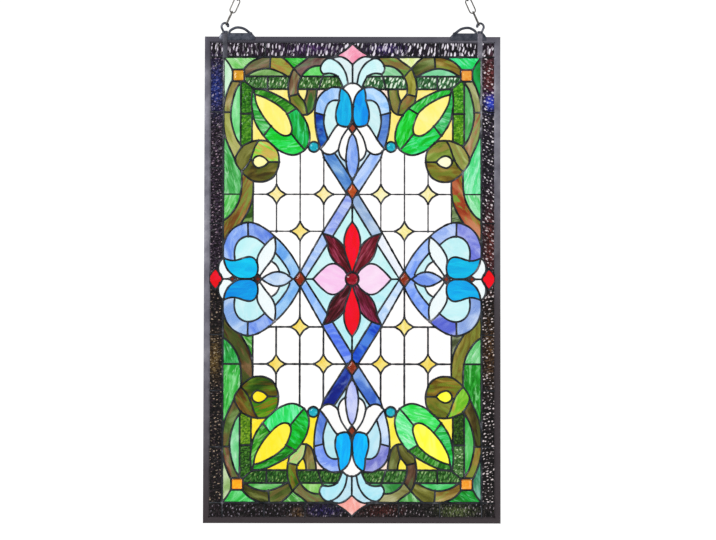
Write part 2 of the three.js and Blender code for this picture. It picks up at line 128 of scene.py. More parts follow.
# Puts a shape into a mesh at the origin, in metres: each point times 0.001, raised to the panel's middle. It
# rides on the root body, stands for the CAD nodes named, and has sharp edges past the angle given. An
# attribute of four numbers a point is a colour, and one of three a vector.
def makePiece(name, shape, finish, slot, nodes=(), smooth=True, sharp=None, **attributes):
    points, faces = shape
    mesh = bpy.data.meshes.new(name)
    placed = points * mm
    placed[:, 2] += panelMiddle
    mesh.vertices.add(len(points))
    mesh.vertices.foreach_set("co", placed.astype(np.float32).ravel())
    keep = np.ones(faces.shape, bool)
    keep[:, 3] = faces[:, 2] != faces[:, 3]
    sizes = keep.sum(1)
    mesh.loops.add(int(sizes.sum()))
    mesh.loops.foreach_set("vertex_index", faces[keep].astype(np.int32))
    mesh.polygons.add(len(faces))
    mesh.polygons.foreach_set("loop_start", (np.cumsum(sizes) - sizes).astype(np.int32))
    for key, values in attributes.items():
        kind, field = {4: ("FLOAT_COLOR", "color"), 3: ("FLOAT_VECTOR", "vector")}[values.shape[1]]
        layer = mesh.attributes.new(key, kind, "POINT")
        layer.data.foreach_set(field, values.astype(np.float32).ravel())
    mesh.update(calc_edges=True)
    mesh.validate()
    mesh.polygons.foreach_set("use_smooth", np.full(len(mesh.polygons), smooth))
    if sharp:
        mesh.set_sharp_from_angle(angle=math.radians(sharp))
    mesh.materials.append(finish)
    piece = bpy.data.objects.new(name, mesh)
    bpy.context.scene.collection.objects.link(piece)
    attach(piece, "root")
    if nodes:
        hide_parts(*nodes)


# Quads between the points of a grid numbered row by row: each point, the next in its row, and the two after
# them in the next row. The last column meets the first, and so do the rows when closed.
def gridFaces(rows, columns, closed=False):
    r = np.arange(rows if closed else rows - 1)[:, None]
    c = np.arange(columns)
    nextR, nextC = (r + 1) % rows * columns, (c + 1) % columns
    return np.stack([r * columns + c, r * columns + nextC, nextR + nextC, nextR + c], -1).reshape(-1, 4)


# A fan of triangles over a ring of points, from the first of them.
def fanFaces(count):
    i = np.arange(1, count - 1)
    return np.stack([0 * i, i, i + 1, i + 1], -1)


# The triangles inside an outline that isn't convex, from a Delaunay cut.
def innerFaces(outline):
    count = len(outline)
    edges = [(i, (i + 1) % count) for i in range(count)]
    tris = delaunay_2d_cdt([Vector(p) for p in outline.tolist()], edges, [], 1, 1e-6, False)[2]
    return np.array(tris)[:, [0, 1, 2, 2]]


# The wall of a tube of rows of points, with one end's faces at its first row and again at its last.
def tubeFaces(rows, columns, end):
    return np.concatenate([gridFaces(rows, columns), flipFaces(end), end + (rows - 1) * columns])


# A Catmull-Rom curve: each span is the cubic that leaves and meets its ends parallel to the chord between
# the points on either side.
def smoothCurve(points, steps=12):
    p = np.asarray(points, float)
    p = np.concatenate([p[:1], p, p[-1:]])
    t = (np.arange(steps) / steps)[None, :, None]
    a, b, c, d = (p[i:len(p) - 3 + i][:, None] for i in range(4))
    v0, v1 = (c - a) / 2, (d - b) / 2
    spans = (2 * b - 2 * c + v0 + v1) * t**3 + (-3 * b + 3 * c - 2 * v0 - v1) * t**2 + v0 * t + b
    return np.concatenate([spans.reshape(-1, p.shape[1]), p[-1:]])


# The distance of each point along its path: the running sum of the lengths of the steps.
def runAlong(path):
    return np.concatenate([[0], np.cumsum(np.linalg.norm(np.diff(path, axis=0), axis=1))])


# The same path with points at even distances along it, about one step apart.
def evenly(path, step):
    run = runAlong(path)
    at = np.linspace(0, run[-1], max(2, int(round(run[-1] / step)) + 1))
    return np.stack([np.interp(at, run, path[:, i]) for i in range(path.shape[1])], -1)


# Sum of plane waves with random headings and lengths near the pitch, over the root of half their count.
def waves(x, z, pitch, seed, count=9):
    draw = np.random.default_rng(seed)
    heading = draw.uniform(0, 2 * math.pi, count)
    length = pitch * draw.uniform(0.7, 1.6, count)
    phase = draw.uniform(0, 2 * math.pi, count)
    turn = 2 * math.pi * (x[:, None] * np.cos(heading) + z[:, None] * np.sin(heading)) / length + phase
    return np.sin(turn).sum(1) / math.sqrt(count / 2)


# Points on an arc, centre + radius (cos, sin), from one angle in degrees to another.
def arcPath(centre, radius, start=0, stop=360, count=29):
    turn = np.radians(np.linspace(start, stop, count))
    return np.stack([centre[0] + radius * np.cos(turn), centre[1] + radius * np.sin(turn)], -1)


# An sRGB hex colour as linear light: s / 12.92 in the dark, and ((s + 0.055) / 1.055)^2.4 above.
def linear(hexColour):
    srgb = np.array([int(hexColour[i:i + 2], 16) / 255 for i in (0, 2, 4)])
    return np.where(srgb <= 0.04045, srgb / 12.92, ((srgb + 0.055) / 1.055) ** 2.4)


# The same, with full alpha.
def rgba(hexColour):
    return (*linear(hexColour), 1.0)


# Adds a node. A value named for one of the node's own settings sets it, and the others go to its inputs, by
# number or name: a node or a socket is linked, and a constant is set. Stops are a ramp's places and colours.
def addNode(tree, kind, *inputs, stops=(), **values):
    node = tree.nodes.new("ShaderNode" + kind)
    for i, (at, colour) in enumerate(stops):
        ramp = node.color_ramp.elements
        stop = ramp[i] if i < len(ramp) else ramp.new(at)
        stop.position = at
        stop.color = rgba(colour)
    for key, value in [*values.items(), *enumerate(inputs)]:
        if isinstance(key, str) and hasattr(node, key):
            setattr(node, key, value)
            continue
        socket = node.inputs[key.replace("_", " ") if isinstance(key, str) else key]
        value = value.outputs[0] if isinstance(value, bpy.types.Node) else value
        if isinstance(value, bpy.types.NodeSocket):
            tree.links.new(value, socket)
        else:
            socket.default_value = value
    return node


# An empty material and its nodes.
def newFinish(name):
    finish = bpy.data.materials.new(name)
    finish.use_nodes = True
    finish.node_tree.nodes.clear()
    return finish, finish.node_tree


# The drawing: the top right quarter, which is mirrored to the other three.
panel = {
    "halfWidth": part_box("frame_right")[1].x / mm,
    "halfHeight": (barHigh.z - barLow.z) / 2 / mm,
    "lip": 9.3,               # how far the channel covers the edge
    "borderX": 221.5,         # the lines between the picture and its border
    "borderZ": 382.0,
    "glassHalf": 1.5,         # half the sheet's thickness
}
# Half of what the lips leave open.
openHalf = np.array([panel["halfWidth"], panel["halfHeight"]]) - panel["lip"]

# Each lead line ends in ; and gives its points x,z in millimetres from the middle. After ~ it is a smooth
# curve through them.
leadLines = {
    "fleur": """
        0,336 0,371;
        ~ 0,369 10,378 20,382.5 30,382 36,379.5;
        ~ 8,337 11,352 17,364 25,373 36,379.5;
        ~ 36,379.5 43,379.5 50,374 55,365 54,357 50,352.5;
        ~ 50,352.5 40,354 30,351.5 23,345 16,329;
        ~ 0,337 8,335.5 17,328;
        0,297 2,297; 0,272 2.5,272;
        ~ 17,328.5 26,330 36,329.5 46,325 55,317 61.5,306 64.5,290 64,268 61.5,250 57.5,234
            55,223.5;
        ~ 22,307 30,307.5 36,306 42.5,300.5 46.5,291 49,278 48.5,263 42.5,241;
        49,282 64.5,286""",
    "whitePetals": """
        ~ 25,265.5 31,258.5 42.5,240 48,232 55,223.5;
        ~ 55,223.5 47.5,216 39,214 31,216.5 24,222.5;
        ~ 24,222.5 21,235 16.5,246 7,260;
        ~ 24,222.5 21.5,213 17,206.5 10.5,202;
        54,222 58,227; 75,228 80,225;
        ~ 0,250 5,243 8.5,230 10.5,216 11,203 9,190 5,178 0,168;
        0,268 7,259.5 0,250""",
    "bands": """
        8,149.5 50,82 89,12.5; 0,128 32.5,75; 42,61 80.5,1; 8,144 49,208 52,219;
        0,171 28,213 31,216.5;
        ~ 90,15 94,24 103.5,40 114,54 124,65 133,73;
        ~ 107,8 112,19 121,32 131,44;
        0,98.5 0,138; 0,164 0,171; 67,0 79,0""",
    "flower": """
        ~ 1.5,13 4,22 8.5,34 12.5,48 14,61 13,73 9.5,84 5,92 0,98.5;
        ~ 50,78 42,76 32,72 22,64.5 14,55;
        ~ 9,9 15,17 25,25 32,32 38,42 41,52 43,62 50,78 50,82;
        ~ 25,25 33,26.5 42,24 52,16 60,8 67,0""",
    "kites": """
        ~ 0,405 9,397 19,389.5 31,383.5;
        ~ 222,0 226.5,8.5 234.5,18.2;
        ~ 234.5,18.2 243,8 247.5,0""",
    "lattice": """
        49,209 49,161.5; 49,129.5 49,82; 89.5,215 89.5,98; 89.5,66 89.5,12; 130,184 130,161.5;
        130,129.5 130,82; 10,145.5 33,145.5; 65,145.5 114,145.5; 146,145.5 170.5,145.5;
        190,145.5 221.5,145.5; 50,82 73.5,82; 105.5,82 143,82; 170,168 170,97""",
    "leaf": """
        ~ 171,328 148,324 128,315 109,304 92,289 79.5,270 74,252 74,237 82,221.5 101,213 122.5,219
            141,233.5 156,250.5 168,271.5 173,296 173,314 171,328;
        ~ 168,317.5 165.5,303 159,289 150.5,275.5 141,264 131,254 120,247 111,246.5 105.5,250.5
            104.5,262 112,283 121,293 131,301 143,308 155,313.5 168,317.5;
        168,317.5 171,328; 97,293 112,284;
        ~ 82,222 91,232 99,242 105.5,250;
        140.5,262 152,247""",
    "tallVine": """
        ~ 192,338 199.5,327 204.5,312 208.5,293 209,278 206.5,263 203,251 198.5,240 190,227;
        ~ 207,341 213,328 218,313 221.5,297;
        ~ 221.5,263 218.5,245 213,230 206,214.5 201.5,204.5;
        209,286.5 221.5,286.5; 172.5,291 172.5,236; 192,339 192,233 190,227; 173.5,284 192,284""",
    "cornerStrips": """
        24,348.5 89,348.5; 108,348.5 187,348.5; 45,326.5 95,326.5; 110,326.5 171,326.5;
        ~ 50,352.5 54,340 58,326;
        146,348.5 146,326.5; 171,328 188,342; 206,359 213,371 221.5,382""",
    "archVine": """
        ~ 187,361 178,370.5 168,377 154,382;
        ~ 122,382 111,373 101,362;
        ~ 187,347 180,351 171,356.5 161,360 149,362 137.5,360.5 125.5,356 116.5,351.5 109,347;
        141,382 142.5,361""",
    "loopVine": """
        ~ 76,382 83,375.5 92,369 101,362 106,352 109,342 110.5,331 110,320 107,303;
        ~ 86,282 77,283 70,287.5 66,296 63.5,308 61.5,318 61,328;
        ~ 55,367 66,366 76,361.5 84,354 90,344.5 93.5,334 94,324 93,317.5 88,311 83,305 80,295
            78,283;
        ~ 78,327 79,317 83,305;
        93,318 110,314; 88,347 101,362; 62,303 65.5,303""",
    "curl": """
        ~ 190,228 180,233 170,237 160,238 150,237.5 143,235 133,226 127,215 126,200 129,187
            136,175 147,168.5 160,166.5 172,169 182,176 190,184 201.5,204.5 190,228;
        ~ 144,201 150,207.5 158,211.5 166,210 171,204 170,197 163,191 155,192.5 149,195.5 144,201;
        ~ 161,238 167,228 171.5,215 176,203 183,192 190,185;
        126,201 144,201; 171,204 175.5,204""",
    "lowVine": """
        ~ 170,169 170,150 172,135 177,120 184,107 191,96;
        ~ 190,185 190,165 191,150 195,133 203,118 212,107 221.5,100""",
    "medallion": """
        ~ 133,73 141,80.5 151,87.5 162,93.5 174,97 186,96 197,91.5 207,84 215,73.5 221,58;
        ~ 150,59 156,64 163,69 172,72.5 181,73 190,69.5 197,62.5 201,53 202,43 201,32;
        179,97 178.5,73;
        ~ 133,73 141,67 150,58 157,48 162,38 163,29;
        ~ 133,73 131.5,61 131.5,50 134,40 139.5,30.5 149,18.5 157,7 161,3;
        ~ 140,31 132,26 127,19 124,11;
        ~ 220.5,36 213,33 205,31.5 195,33 185,36.5 175,38 168,35 163,28 161.5,18 163,9 166.5,4
            173,1 178,0.5 188,0.5 197,2.2 206,8 213,15 218,25 220.5,36;
        ~ 221,36 227,29 229.5,18 227,6;
        210,0 223,0;
        ~ 102,0 112,8 123,12 135,11.5 147,6 155.5,0;
        155.5,0 161,8.2 167,0; 199,0 205,5 211,0""",
    "border": """
        31,382 223.5,382; 221.5,384 221.5,36""",
    "tileSeam": """
        221.5,382 247,382; 221.5,382 221.5,410; 221.5,287 247,287; 221.5,191 247,191;
        221.5,95.5 247,95.5; 80,382 80,410; 150,382 150,410""",
}

turquoisePetal = """~ 20,329.5 22.5,318 23,308 25.5,299 28.5,287 28,275 25,266 17,262.5 9,262 4,266.5 1,276
    0.8,292 2.5,306 6,316 11.5,323 20,329.5"""

rings = {                     # closed lines round the star diamonds and the jewels
    "star": {"centres": [(49, 145.5), (130, 145.5), (89.5, 82)], "tip": 16.0, "waist": 6.2},
    "diamond": {"centres": [(0, 151), (89.5, 0)], "halfWidth": 10.0, "halfHeight": 14.0},
    "cornerJewel": {"centre": (196, 350), "half": 10.2},
    "roundJewel": {"centre": (66.2, 227), "radius": 8.9},
    "centreJewel": {"centre": (0, 0), "radius": 11.3},
}
beadStep = 3.2                # millimetres between the sections of a bead
sharpTurn = 0.9               # a corner is where the cosine of the turn is under this


# The points of one lead line's text, as a path.
def readLine(text):
    words = text.split()
    curved = words[0] == "~"
    points = np.array([word.split(",") for word in words[curved:]], float)
    return smoothCurve(points) if curved else points


# A path in even steps, but with each sharp corner kept where it is.
def evenlyKeepingCorners(path):
    way = np.diff(path, axis=0)
    way /= np.maximum(np.linalg.norm(way, axis=1, keepdims=True), 1e-9)
    sharp = np.nonzero((way[1:] * way[:-1]).sum(1) < sharpTurn)[0] + 1
    cuts = [0, *sharp, len(path) - 1]
    runs = [evenly(path[a:b + 1], beadStep) for a, b in zip(cuts[:-1], cuts[1:])]
    return np.concatenate([runs[0], *[run[1:] for run in runs[1:]]])


# Every lead line of the quarter as an evenly stepped path, with its motif's name.
def quarterPaths():
    paths = [(motif, evenlyKeepingCorners(readLine(text)))
             for motif, lines in leadLines.items() for text in lines.split(";")]
    tip, waist = rings["star"]["tip"], rings["star"]["waist"]
    w, h = rings["diamond"]["halfWidth"], rings["diamond"]["halfHeight"]
    outlines = {
        "star": [(tip, 0), (waist, waist), (0, tip), (-waist, waist), (-tip, 0), (-waist, -waist), (0, -tip),
                 (waist, -waist), (tip, 0)],
        "diamond": [(w, 0), (0, h), (-w, 0), (0, -h), (w, 0)],
    }
    for name, outline in outlines.items():
        for centre in rings[name]["centres"]:
            paths.append((name, evenlyKeepingCorners(np.array(outline) + centre)))
    square = np.array([(1, 1), (-1, 1), (-1, -1), (1, -1), (1, 1)]) * rings["cornerJewel"]["half"]
    paths.append(("cornerJewel", evenlyKeepingCorners(square + rings["cornerJewel"]["centre"])))
    for name in ("roundJewel", "centreJewel"):
        paths.append((name, arcPath(**rings[name])))
    paths.append(("petal", evenly(readLine(turquoisePetal), beadStep)))
    return paths


# The nearest point to a point on any of the segments, and its distance: each segment's foot is its start
# plus its way times t, the share of the way at which it is square to the point, held between 0 and 1.
def nearestOn(point, starts, ends):
    way = ends - starts
    t = ((point - starts) * way).sum(1) / np.maximum((way * way).sum(1), 1e-9)
    foot = starts + np.clip(t, 0, 1)[:, None] * way
    gap = np.linalg.norm(foot - point, axis=1)
    return foot[gap.argmin()], gap.min()


# Runs each open end of a line on to the nearest other line within reach, and a little past it.
def meetNeighbours(paths, reach=4.5, past=0.6):
    everything = [path * flip for _, path in paths for flip in ((1, 1), (-1, 1), (1, -1))]
    owner = np.repeat(np.arange(len(paths) * 3), [len(path) - 1 for path in everything])
    starts = np.concatenate([path[:-1] for path in everything])
    ends = np.concatenate([path[1:] for path in everything])
    met = []
    for i, (motif, path) in enumerate(paths):
        closed = np.linalg.norm(path[0] - path[-1]) < 0.01
        others = owner != 3 * i
        for end in () if closed else (0, -1):
            foot, gap = nearestOn(path[end], starts[others], ends[others])
            if gap < reach:
                way = foot - path[end] if gap > 0.05 else path[end] - path[1 if end == 0 else -2]
                on = foot + way / np.linalg.norm(way) * past
                path = np.vstack([on, path]) if end == 0 else np.vstack([path, on])
        met.append((motif, path))
    return met


quarter = meetNeighbours(quarterPaths())
print("lead lines in a quarter:", len(quarter))

# The lead lines cut the glass: they divide the panel into pieces.
cutting = {
    "edge": 1.0,              # millimetres that the glass goes past the channel's lip
    "gap": 0.5,               # from the middle of the lead to the glass
    "coarse": 6.0,            # spacing of points inside smooth glass
    "fine": 2.3,              # spacing inside rippled glass
    "wobble": 0.3,            # share of the spacing by which rows of points are shifted
    "clear": 4,               # cells of one millimetre round the grid
    "least": 12.0,            # square millimetres of the smallest piece that is made
    "strips": [((20, 190), (327, 348.5)), ((172.5, 192), (233, 348.5))],     # x and z of the green strips
}


# True in the dark border and in the green strips of each corner.
def isRippled(x, z):
    x, z = np.abs(x), np.abs(z)
    rippled = (x > panel["borderX"]) | (z > panel["borderZ"])
    for (left, right), (low, high) in cutting["strips"]:
        rippled |= (x > left) & (x < right) & (z > low) & (z < high)
    return rippled


# Points of two square grids, fine where the glass is rippled, with none in the cells beside a lead line.
def innerPoints(lines):
    halfX, halfZ = openHalf
    clear = openHalf + cutting["clear"]
    taken = np.zeros((2 * openHalf).astype(int) + 2 * cutting["clear"] + 1, bool)
    cell = np.floor(lines + clear).astype(int)
    last = np.array(taken.shape) - 1
    for shift in np.ndindex(3, 3):
        taken[tuple(np.clip(cell + shift - 1, 0, last).T)] = True
    found = []
    for spacing, rippled in ((cutting["coarse"], False), (cutting["fine"], True)):
        across, up = np.arange(-halfX + 1, halfX, spacing), np.arange(-halfZ + 1, halfZ, spacing)
        x, z = (a.ravel() for a in np.meshgrid(across, up))
        x = x + cutting["wobble"] * spacing * np.sin(z * 1.7)
        points = np.stack([x, z], -1)
        spare = (isRippled(x, z) == rippled) & (np.abs(x) < halfX - 0.5)
        found.append(points[spare & ~taken[tuple(np.floor(points + clear).astype(int).T)]])
    return np.concatenate(found)


# Delaunay triangles of the whole panel that keep every lead line, turned the same way, with their areas and
# the edges along lead lines. A triangle's area is half its sides' cross product.
def cutPanel():
    halfX, halfZ = openHalf + cutting["edge"]
    rim = np.array([(-halfX, -halfZ), (halfX, -halfZ), (halfX, halfZ), (-halfX, halfZ), (-halfX, -halfZ)])
    lines = [np.clip(path * flip, (-halfX, -halfZ), (halfX, halfZ))
             for _, path in quarter for flip in ((1, 1), (-1, 1), (1, -1), (-1, -1))]
    lines.append(evenlyKeepingCorners(rim))
    points = np.concatenate(lines)
    number = np.arange(len(points) - 1)
    number = np.delete(number, np.cumsum([len(path) for path in lines])[:-1] - 1)
    edges = np.stack([number, number + 1], -1)
    verts, cutEdges, tris, _, fromEdges, _ = delaunay_2d_cdt(
        [Vector(p) for p in np.concatenate([points, innerPoints(points)]).tolist()],
        edges.tolist(), [], 0, 0.02, True)
    verts, tris = np.array([tuple(v) for v in verts]), np.array(tris)
    a, b, c = (verts[tris[:, i]] for i in range(3))
    area = np.cross(b - a, c - a) / 2
    tris[area < 0] = tris[area < 0][:, ::-1]
    sound = np.abs(area) > 1e-4
    return verts, tris[sound], np.abs(area)[sound], np.array(cutEdges)[[len(f) > 0 for f in fromEdges]]


# A number for each triangle, the same for all that meet over edges which no lead line runs along: the two
# at each such edge take the lower of their numbers until nothing changes.
def pieceNumbers(verts, tris, cut):
    # One number for an edge both ways: its lower end times the count of points, plus its higher end.
    def edgeKey(ends):
        return ends.min(1) * len(verts) + ends.max(1)

    key = edgeKey(np.concatenate([tris[:, [0, 1]], tris[:, [1, 2]], tris[:, [2, 0]]]))
    uncut = ~np.isin(key, edgeKey(cut))
    order = np.argsort(key[uncut], kind="stable")
    k, owner = key[uncut][order], np.tile(np.arange(len(tris)), 3)[uncut][order]
    pair = np.nonzero(k[1:] == k[:-1])[0]
    a, b = owner[pair], owner[pair + 1]
    label = np.arange(len(tris))
    while True:
        low = np.minimum(label[a], label[b])
        new = label.copy()
        np.minimum.at(new, a, low)
        np.minimum.at(new, b, low)
        new = new[new]
        if (new == label).all():
            return np.unique(label, return_inverse=True)[1]
        label = new


verts2d, tris2d, triArea, cutLines = cutPanel()
pieceOf = pieceNumbers(verts2d, tris2d, cutLines)
pieceArea = np.bincount(pieceOf, triArea)
triMiddle = verts2d[tris2d].mean(1)
pieceMiddle = np.stack([np.bincount(pieceOf, triMiddle[:, i] * triArea) / pieceArea for i in (0, 1)], -1)
print("glass cut:", len(tris2d), "triangles,", int((pieceArea > cutting["least"]).sum()), "pieces")

# Which glass each piece is cut from, as name: (kind of glass, places inside it in the quarter, tints).
# Tints are one for all four quarters, two for top and bottom, or four in the order of the quarters below.
glassPieces = {
    "plumeInner": ("opal", [(7, 360)], "d8ecf0 c0e6f4"),
    "plumeOuter": ("opal", [(40, 366)], "cef4f6 b6ecf8"),
    "dome": ("opal", [(3, 330)], "fffefc"),
    "underPlume": ("wispy", [(38, 351)], "a0dcb8 7cc090"),
    "petalTurquoise": ("cathedral", [(14, 285)], "06b0e4 049cec 02b4f6 02b6f8"),
    "ringUpper": ("wispy", [(45, 316)], "aed0f8 b0d6fc 9cb6f4 989cda"),
    "ringLower": ("wispy", [(56, 262)], "1656b4 749cda 7a9ce0 c8dcf6"),
    "ringInner": ("opal", [(36, 280)], "cef0f2 cceef2 bce8f0 bae6f4"),
    "whitePetal": ("opal", [(35, 232), (18, 225)], "fffdfb"),
    "topLens": ("wispy", [(3, 210)], "9cbaf3 9cbaf3 bcc0f0 bcc4f4"),
    "bandNotch": ("opal", [(15, 197)], "bcdcf0 cfe6f4 c4e4f0 c4e4f0"),
    "bandTop": ("wispy", [(25, 190)], "70a0d8 b4cdf8 2c48a8 6890d8"),
    "bandUpper": ("wispy", [(25, 110)], "a8b8f0 b0c6e2 7c9cf2 3066d4"),
    "bandLower": ("wispy", [(66, 45)], "c0d6f8 eef2fa a4c8f8 d0e4fa"),
    "bandSide": ("wispy", [(117, 42)], "98acf0 b0c8f4 88bcf0 94b4f6"),
    "bandSideInner": ("opal", [(120, 22)], "c6eef4"),
    "flowerSky": ("opal", [(10, 100), (50, 32)], "c8f2f4 c8f2f4 bdeef4 bdeef4"),
    "petalRed": ("cathedral", [(3, 60)], "f2001c f0001c f0001c ec001c"),
    "petalDark": ("ruby", [(27, 50)], "7c1c34 8a2c40 6c2434 84284a"),
    "petalPink": ("opal", [(35, 12)], "f7ccee fadcf0 f8caee f8d8f2"),
    "sideLens": ("wispy", [(130, 6)], "c8dcf4 9cbaf4 c8dcf4 98b4f0"),
    "sideWhite": ("opal", [(145, 45), (144, 18)], "fffdfb"),
    "ringLeft": ("wispy", [(157, 82)], "86a4ea b0c6f4 84a4ec 8490e0"),
    "ringRight": ("wispy", [(205, 76)], "94b4f2 8c94e0 acc8ee a8bee8"),
    "ringSky": ("opal", [(178, 55)], "c6f3f6 c4f0f4 c4eff4 c8f2f6"),
    "petalSide": ("cathedral", [(185, 18)], "02bcec 02b4e4 0098e4 02a8e8"),
    "wing": ("opal", [(224, 20)], "eff9fb"),
    "kitePink": ("wispy", [(5, 392)], "f492b0 f6b0c6 f8c2b0 f8bcb4"),
    "kiteRed": ("cathedral", [(234, 5)], "e8041c f00018 e8041c f00018"),
    "star": ("wispy", [(49, 145), (130, 145), (89, 82)], "f8e8a0 f8f0b8 f6e07c f6e488"),
    "leafTop": ("streaky", [(140, 315)], "409c24 3cc850 1e9a20 40942c"),
    "leafLeft": ("streaky", [(92, 262)], "0cb850 14d034 04bc2c 80f0a4"),
    "leafBottom": ("streaky", [(112, 230)], "28dc58 14d454 54e88c 58e878"),
    "leafRight": ("streaky", [(162, 280)], "50bc5c 54c87c 48a82c 30c45c"),
    "heart": ("opal", [(135, 280)], "fff27a fff280 ffee30 ffff48"),
    "backYellow": ("opal", [(70, 265), (87, 318), (122, 321), (166, 250)], "fdec84 fdea80 fee82c fdee4c"),
    "backBlush": ("opal", [(57, 322)], "fbe6d6"),
    "curlLeft": ("vine", [(143, 222)], "98dc50 869c40 5c9c10 708024"),
    "curlLow": ("vine", [(150, 180)], "605418 847024 3e6608 84681a"),
    "curlRight": ("vine", [(185, 212)], "7c7c38 8e9a4a 7c5c20 84c838"),
    "curlEye": ("opal", [(158, 201)], "fdf8b4 fdfbd8 ffe820 fefe34"),
    "lowVine": ("vine", [(182, 140)], "987038 b05a36 54381a 8c8034"),
    "tallVineUpper": ("vine", [(211, 310)], "9c8c54 a0a870 785038 90702c"),
    "tallVineLower": ("vine", [(210, 250)], "b4b870 a87c58 587434 584c1c"),
    "archLeft": ("vine", [(120, 368)], "b08c44 5c6c30 607030 70702a"),
    "archRight": ("vine", [(165, 370)], "745c44 907830 485018 9a8240"),
    "loopTop": ("vine", [(75, 373)], "785854 5c9038 50843c 94905c"),
    "loopRight": ("vine", [(100, 335)], "8c6e54 9a983c 4c7c14 684c38"),
    "loopLow": ("vine", [(93, 302)], "788c34 8c6434 a0d878 505218"),
    "loopLimb": ("vine", [(71, 305)], "588c48 7a8c40 8c7c48 586428"),
    "sideMint": ("wispy", [(200, 290)], "92e2a0 70c07c 90dca4 5cc468"),
    "cornerTop": ("streaky", [(200, 374)], "96d888 38e084 64d478 1aa038"),
    "cornerSide": ("wispy", [(216, 355)], "c4ecc8 089038 b4cc98 58a080"),
    "midGreen": ("streaky", [(98, 375)], "44c244 eaf4ba 74bc68 78bc74"),
    "loopGreen": ("wispy", [(72, 357)], "7cdc7c a8dcb4 8ccc68 5cac68"),
    "archMint": ("wispy", [(145, 355)], "98c080 a4e2bc 6cc068 64d080"),
    "sideUpper": ("streaky", [(210, 180)], "68c074 80e8ac 60c868 34a838"),
    "sideLower": ("streaky", [(210, 128)], "68c868 7cdc94 42b460 84d490"),
    "cornerFern": ("streaky", [(175, 115)], "5c8438 647c48 66b452 788060"),
    "stripAcross": ("ripple", [(40, 338), (75, 338), (125, 338), (160, 338)], "3c7030 3c7044 2a601c 366c28"),
    "stripUpper": ("ripple", [(182, 310)], "347a10 4c9c18 2c6010 4c7a3c"),
    "stripLower": ("ripple", [(182, 260)], "488c14 56980e 64900c 244c08"),
    "smallJewel": ("cathedral", [(0, 259), (161, 2), (205, 2)], "8a3018 8a3018 7c2c14 7c2c14"),
    "jewel": ("none", [(0, 151), (89.5, 2), (196, 350), (66, 227), (0, 4)], "000000"),
}

otherGlass = {                # pieces that no name above claims
    "lattice": ("clear", "fffdfc fffcfc fffdfb fffbfa"),
    "border": ("ripple", "201424 1c1422 10080c 0e080a"),
}
quarters = [(-1, 1), (1, 1), (-1, -1), (1, -1)]    # top left, top right, bottom left, bottom right


# The tint for one of the quarters, from one, two or four.
def tintOf(tints, which):
    tints = tints.split()
    return {1: tints * 4, 2: [tints[0]] * 2 + [tints[-1]] * 2, 4: tints}[len(tints)][which]


# The number of the piece whose triangle holds a place: the cross products of its sides with the ways from
# their starts to the place are all positive.
def pieceUnder(place):
    a, b, c = (verts2d[tris2d[:, i]] for i in range(3))
    sides = [np.cross(q - p, place - p) for p, q in ((a, b), (b, c), (c, a))]
    return pieceOf[np.minimum.reduce(sides) > -1e-6][0]


# Kind, tint, name and quarter of every piece.
def chooseGlass():
    total = len(pieceArea)
    kind, named = np.full(total, "", dtype=object), np.full(total, "", dtype=object)
    tint = np.zeros((total, 3))
    side = (pieceMiddle[:, 0] > 0).astype(int) + 2 * (pieceMiddle[:, 1] < 0)
    outside = (np.abs(pieceMiddle) > (panel["borderX"], panel["borderZ"])).any(1)
    for name, mask in (("lattice", ~outside), ("border", outside)):
        kind[mask], named[mask] = otherGlass[name][0], name
        for which in range(4):
            tint[mask & (side == which)] = linear(tintOf(otherGlass[name][1], which))
    for name, (sort, places, tints) in glassPieces.items():
        for place in places:
            for which, flip in enumerate(quarters):
                number = pieceUnder(np.array(place) * flip)
                kind[number], named[number] = sort, name
                tint[number] = linear(tintOf(tints, which))
    return kind, tint, named, side


pieceKind, pieceTint, pieceName, pieceQuarter = chooseGlass()

# The light caught on the ridges of rippled glass, painted as highlights into the sheet's colour: its colour
# in the quarters, or left and right, and the size of each dash of it there.
ridgeFlash = {
    "borderTop": ("d4ccd8 ece6f0", (0.9, 1.05)),
    "borderSide": ("a48e9c e4dce0 a08c78 e0d4d4", (0.62, 0.8, 0.64, 0.74)),
    "borderBottom": ("8c8490 90868c", (0.6, 0.6)),
    "stripAcross": ("c8dcb0 e2f2dc 84a85c 98b878", (0.78, 1.15, 0.72, 0.78)),
    "stripUpper": ("5c9840 88c464 4c8030 b8d0a0", (0.6, 0.6, 0.6, 0.75)),
    "stripLower": ("40801c 8cc058 88a83c 3c681c", (0.5, 0.6, 0.6, 0.6)),
}
ridgeStretch = {"borderSide": 1.9, "borderBottom": 1.7, "stripUpper": 1.9, "stripLower": 1.9,
                "stripAcross": 1.2}
thinning = {"opal": 0.6, "others": 0.4}             # powers that thin a tint to the sheet's other colour


# The other colour in each sheet is its tint t thinned, t to a power. A vine's is its tint with red and green
# exchanged, and a rippled sheet's is its flash. The fourth number is the size of its dashes.
def secondColours():
    power = np.where(pieceKind == "opal", thinning["opal"], thinning["others"])[:, None]
    other = np.concatenate([pieceTint ** power, np.zeros((len(pieceTint), 1))], -1)
    vine = pieceKind == "vine"
    other[vine, :3] = pieceTint[vine][:, [1, 0, 2]]
    place = pieceName.copy()
    border = pieceName == "border"
    high = np.abs(pieceMiddle[:, 1]) > panel["borderZ"]
    place[border] = "borderSide"
    place[border & high] = np.where(pieceMiddle[border & high, 1] > 0, "borderTop", "borderBottom")
    for name, (flash, sizes) in ridgeFlash.items():
        for which in range(4):
            mine = (place == name) & (pieceQuarter == which)
            other[mine, :3] = linear(flash.split()[which % len(sizes)])
            other[mine, 3] = sizes[which % len(sizes)]
    return other, place


pieceOther, piecePlace = secondColours()
print("glass chosen:", len(glassPieces), "names")


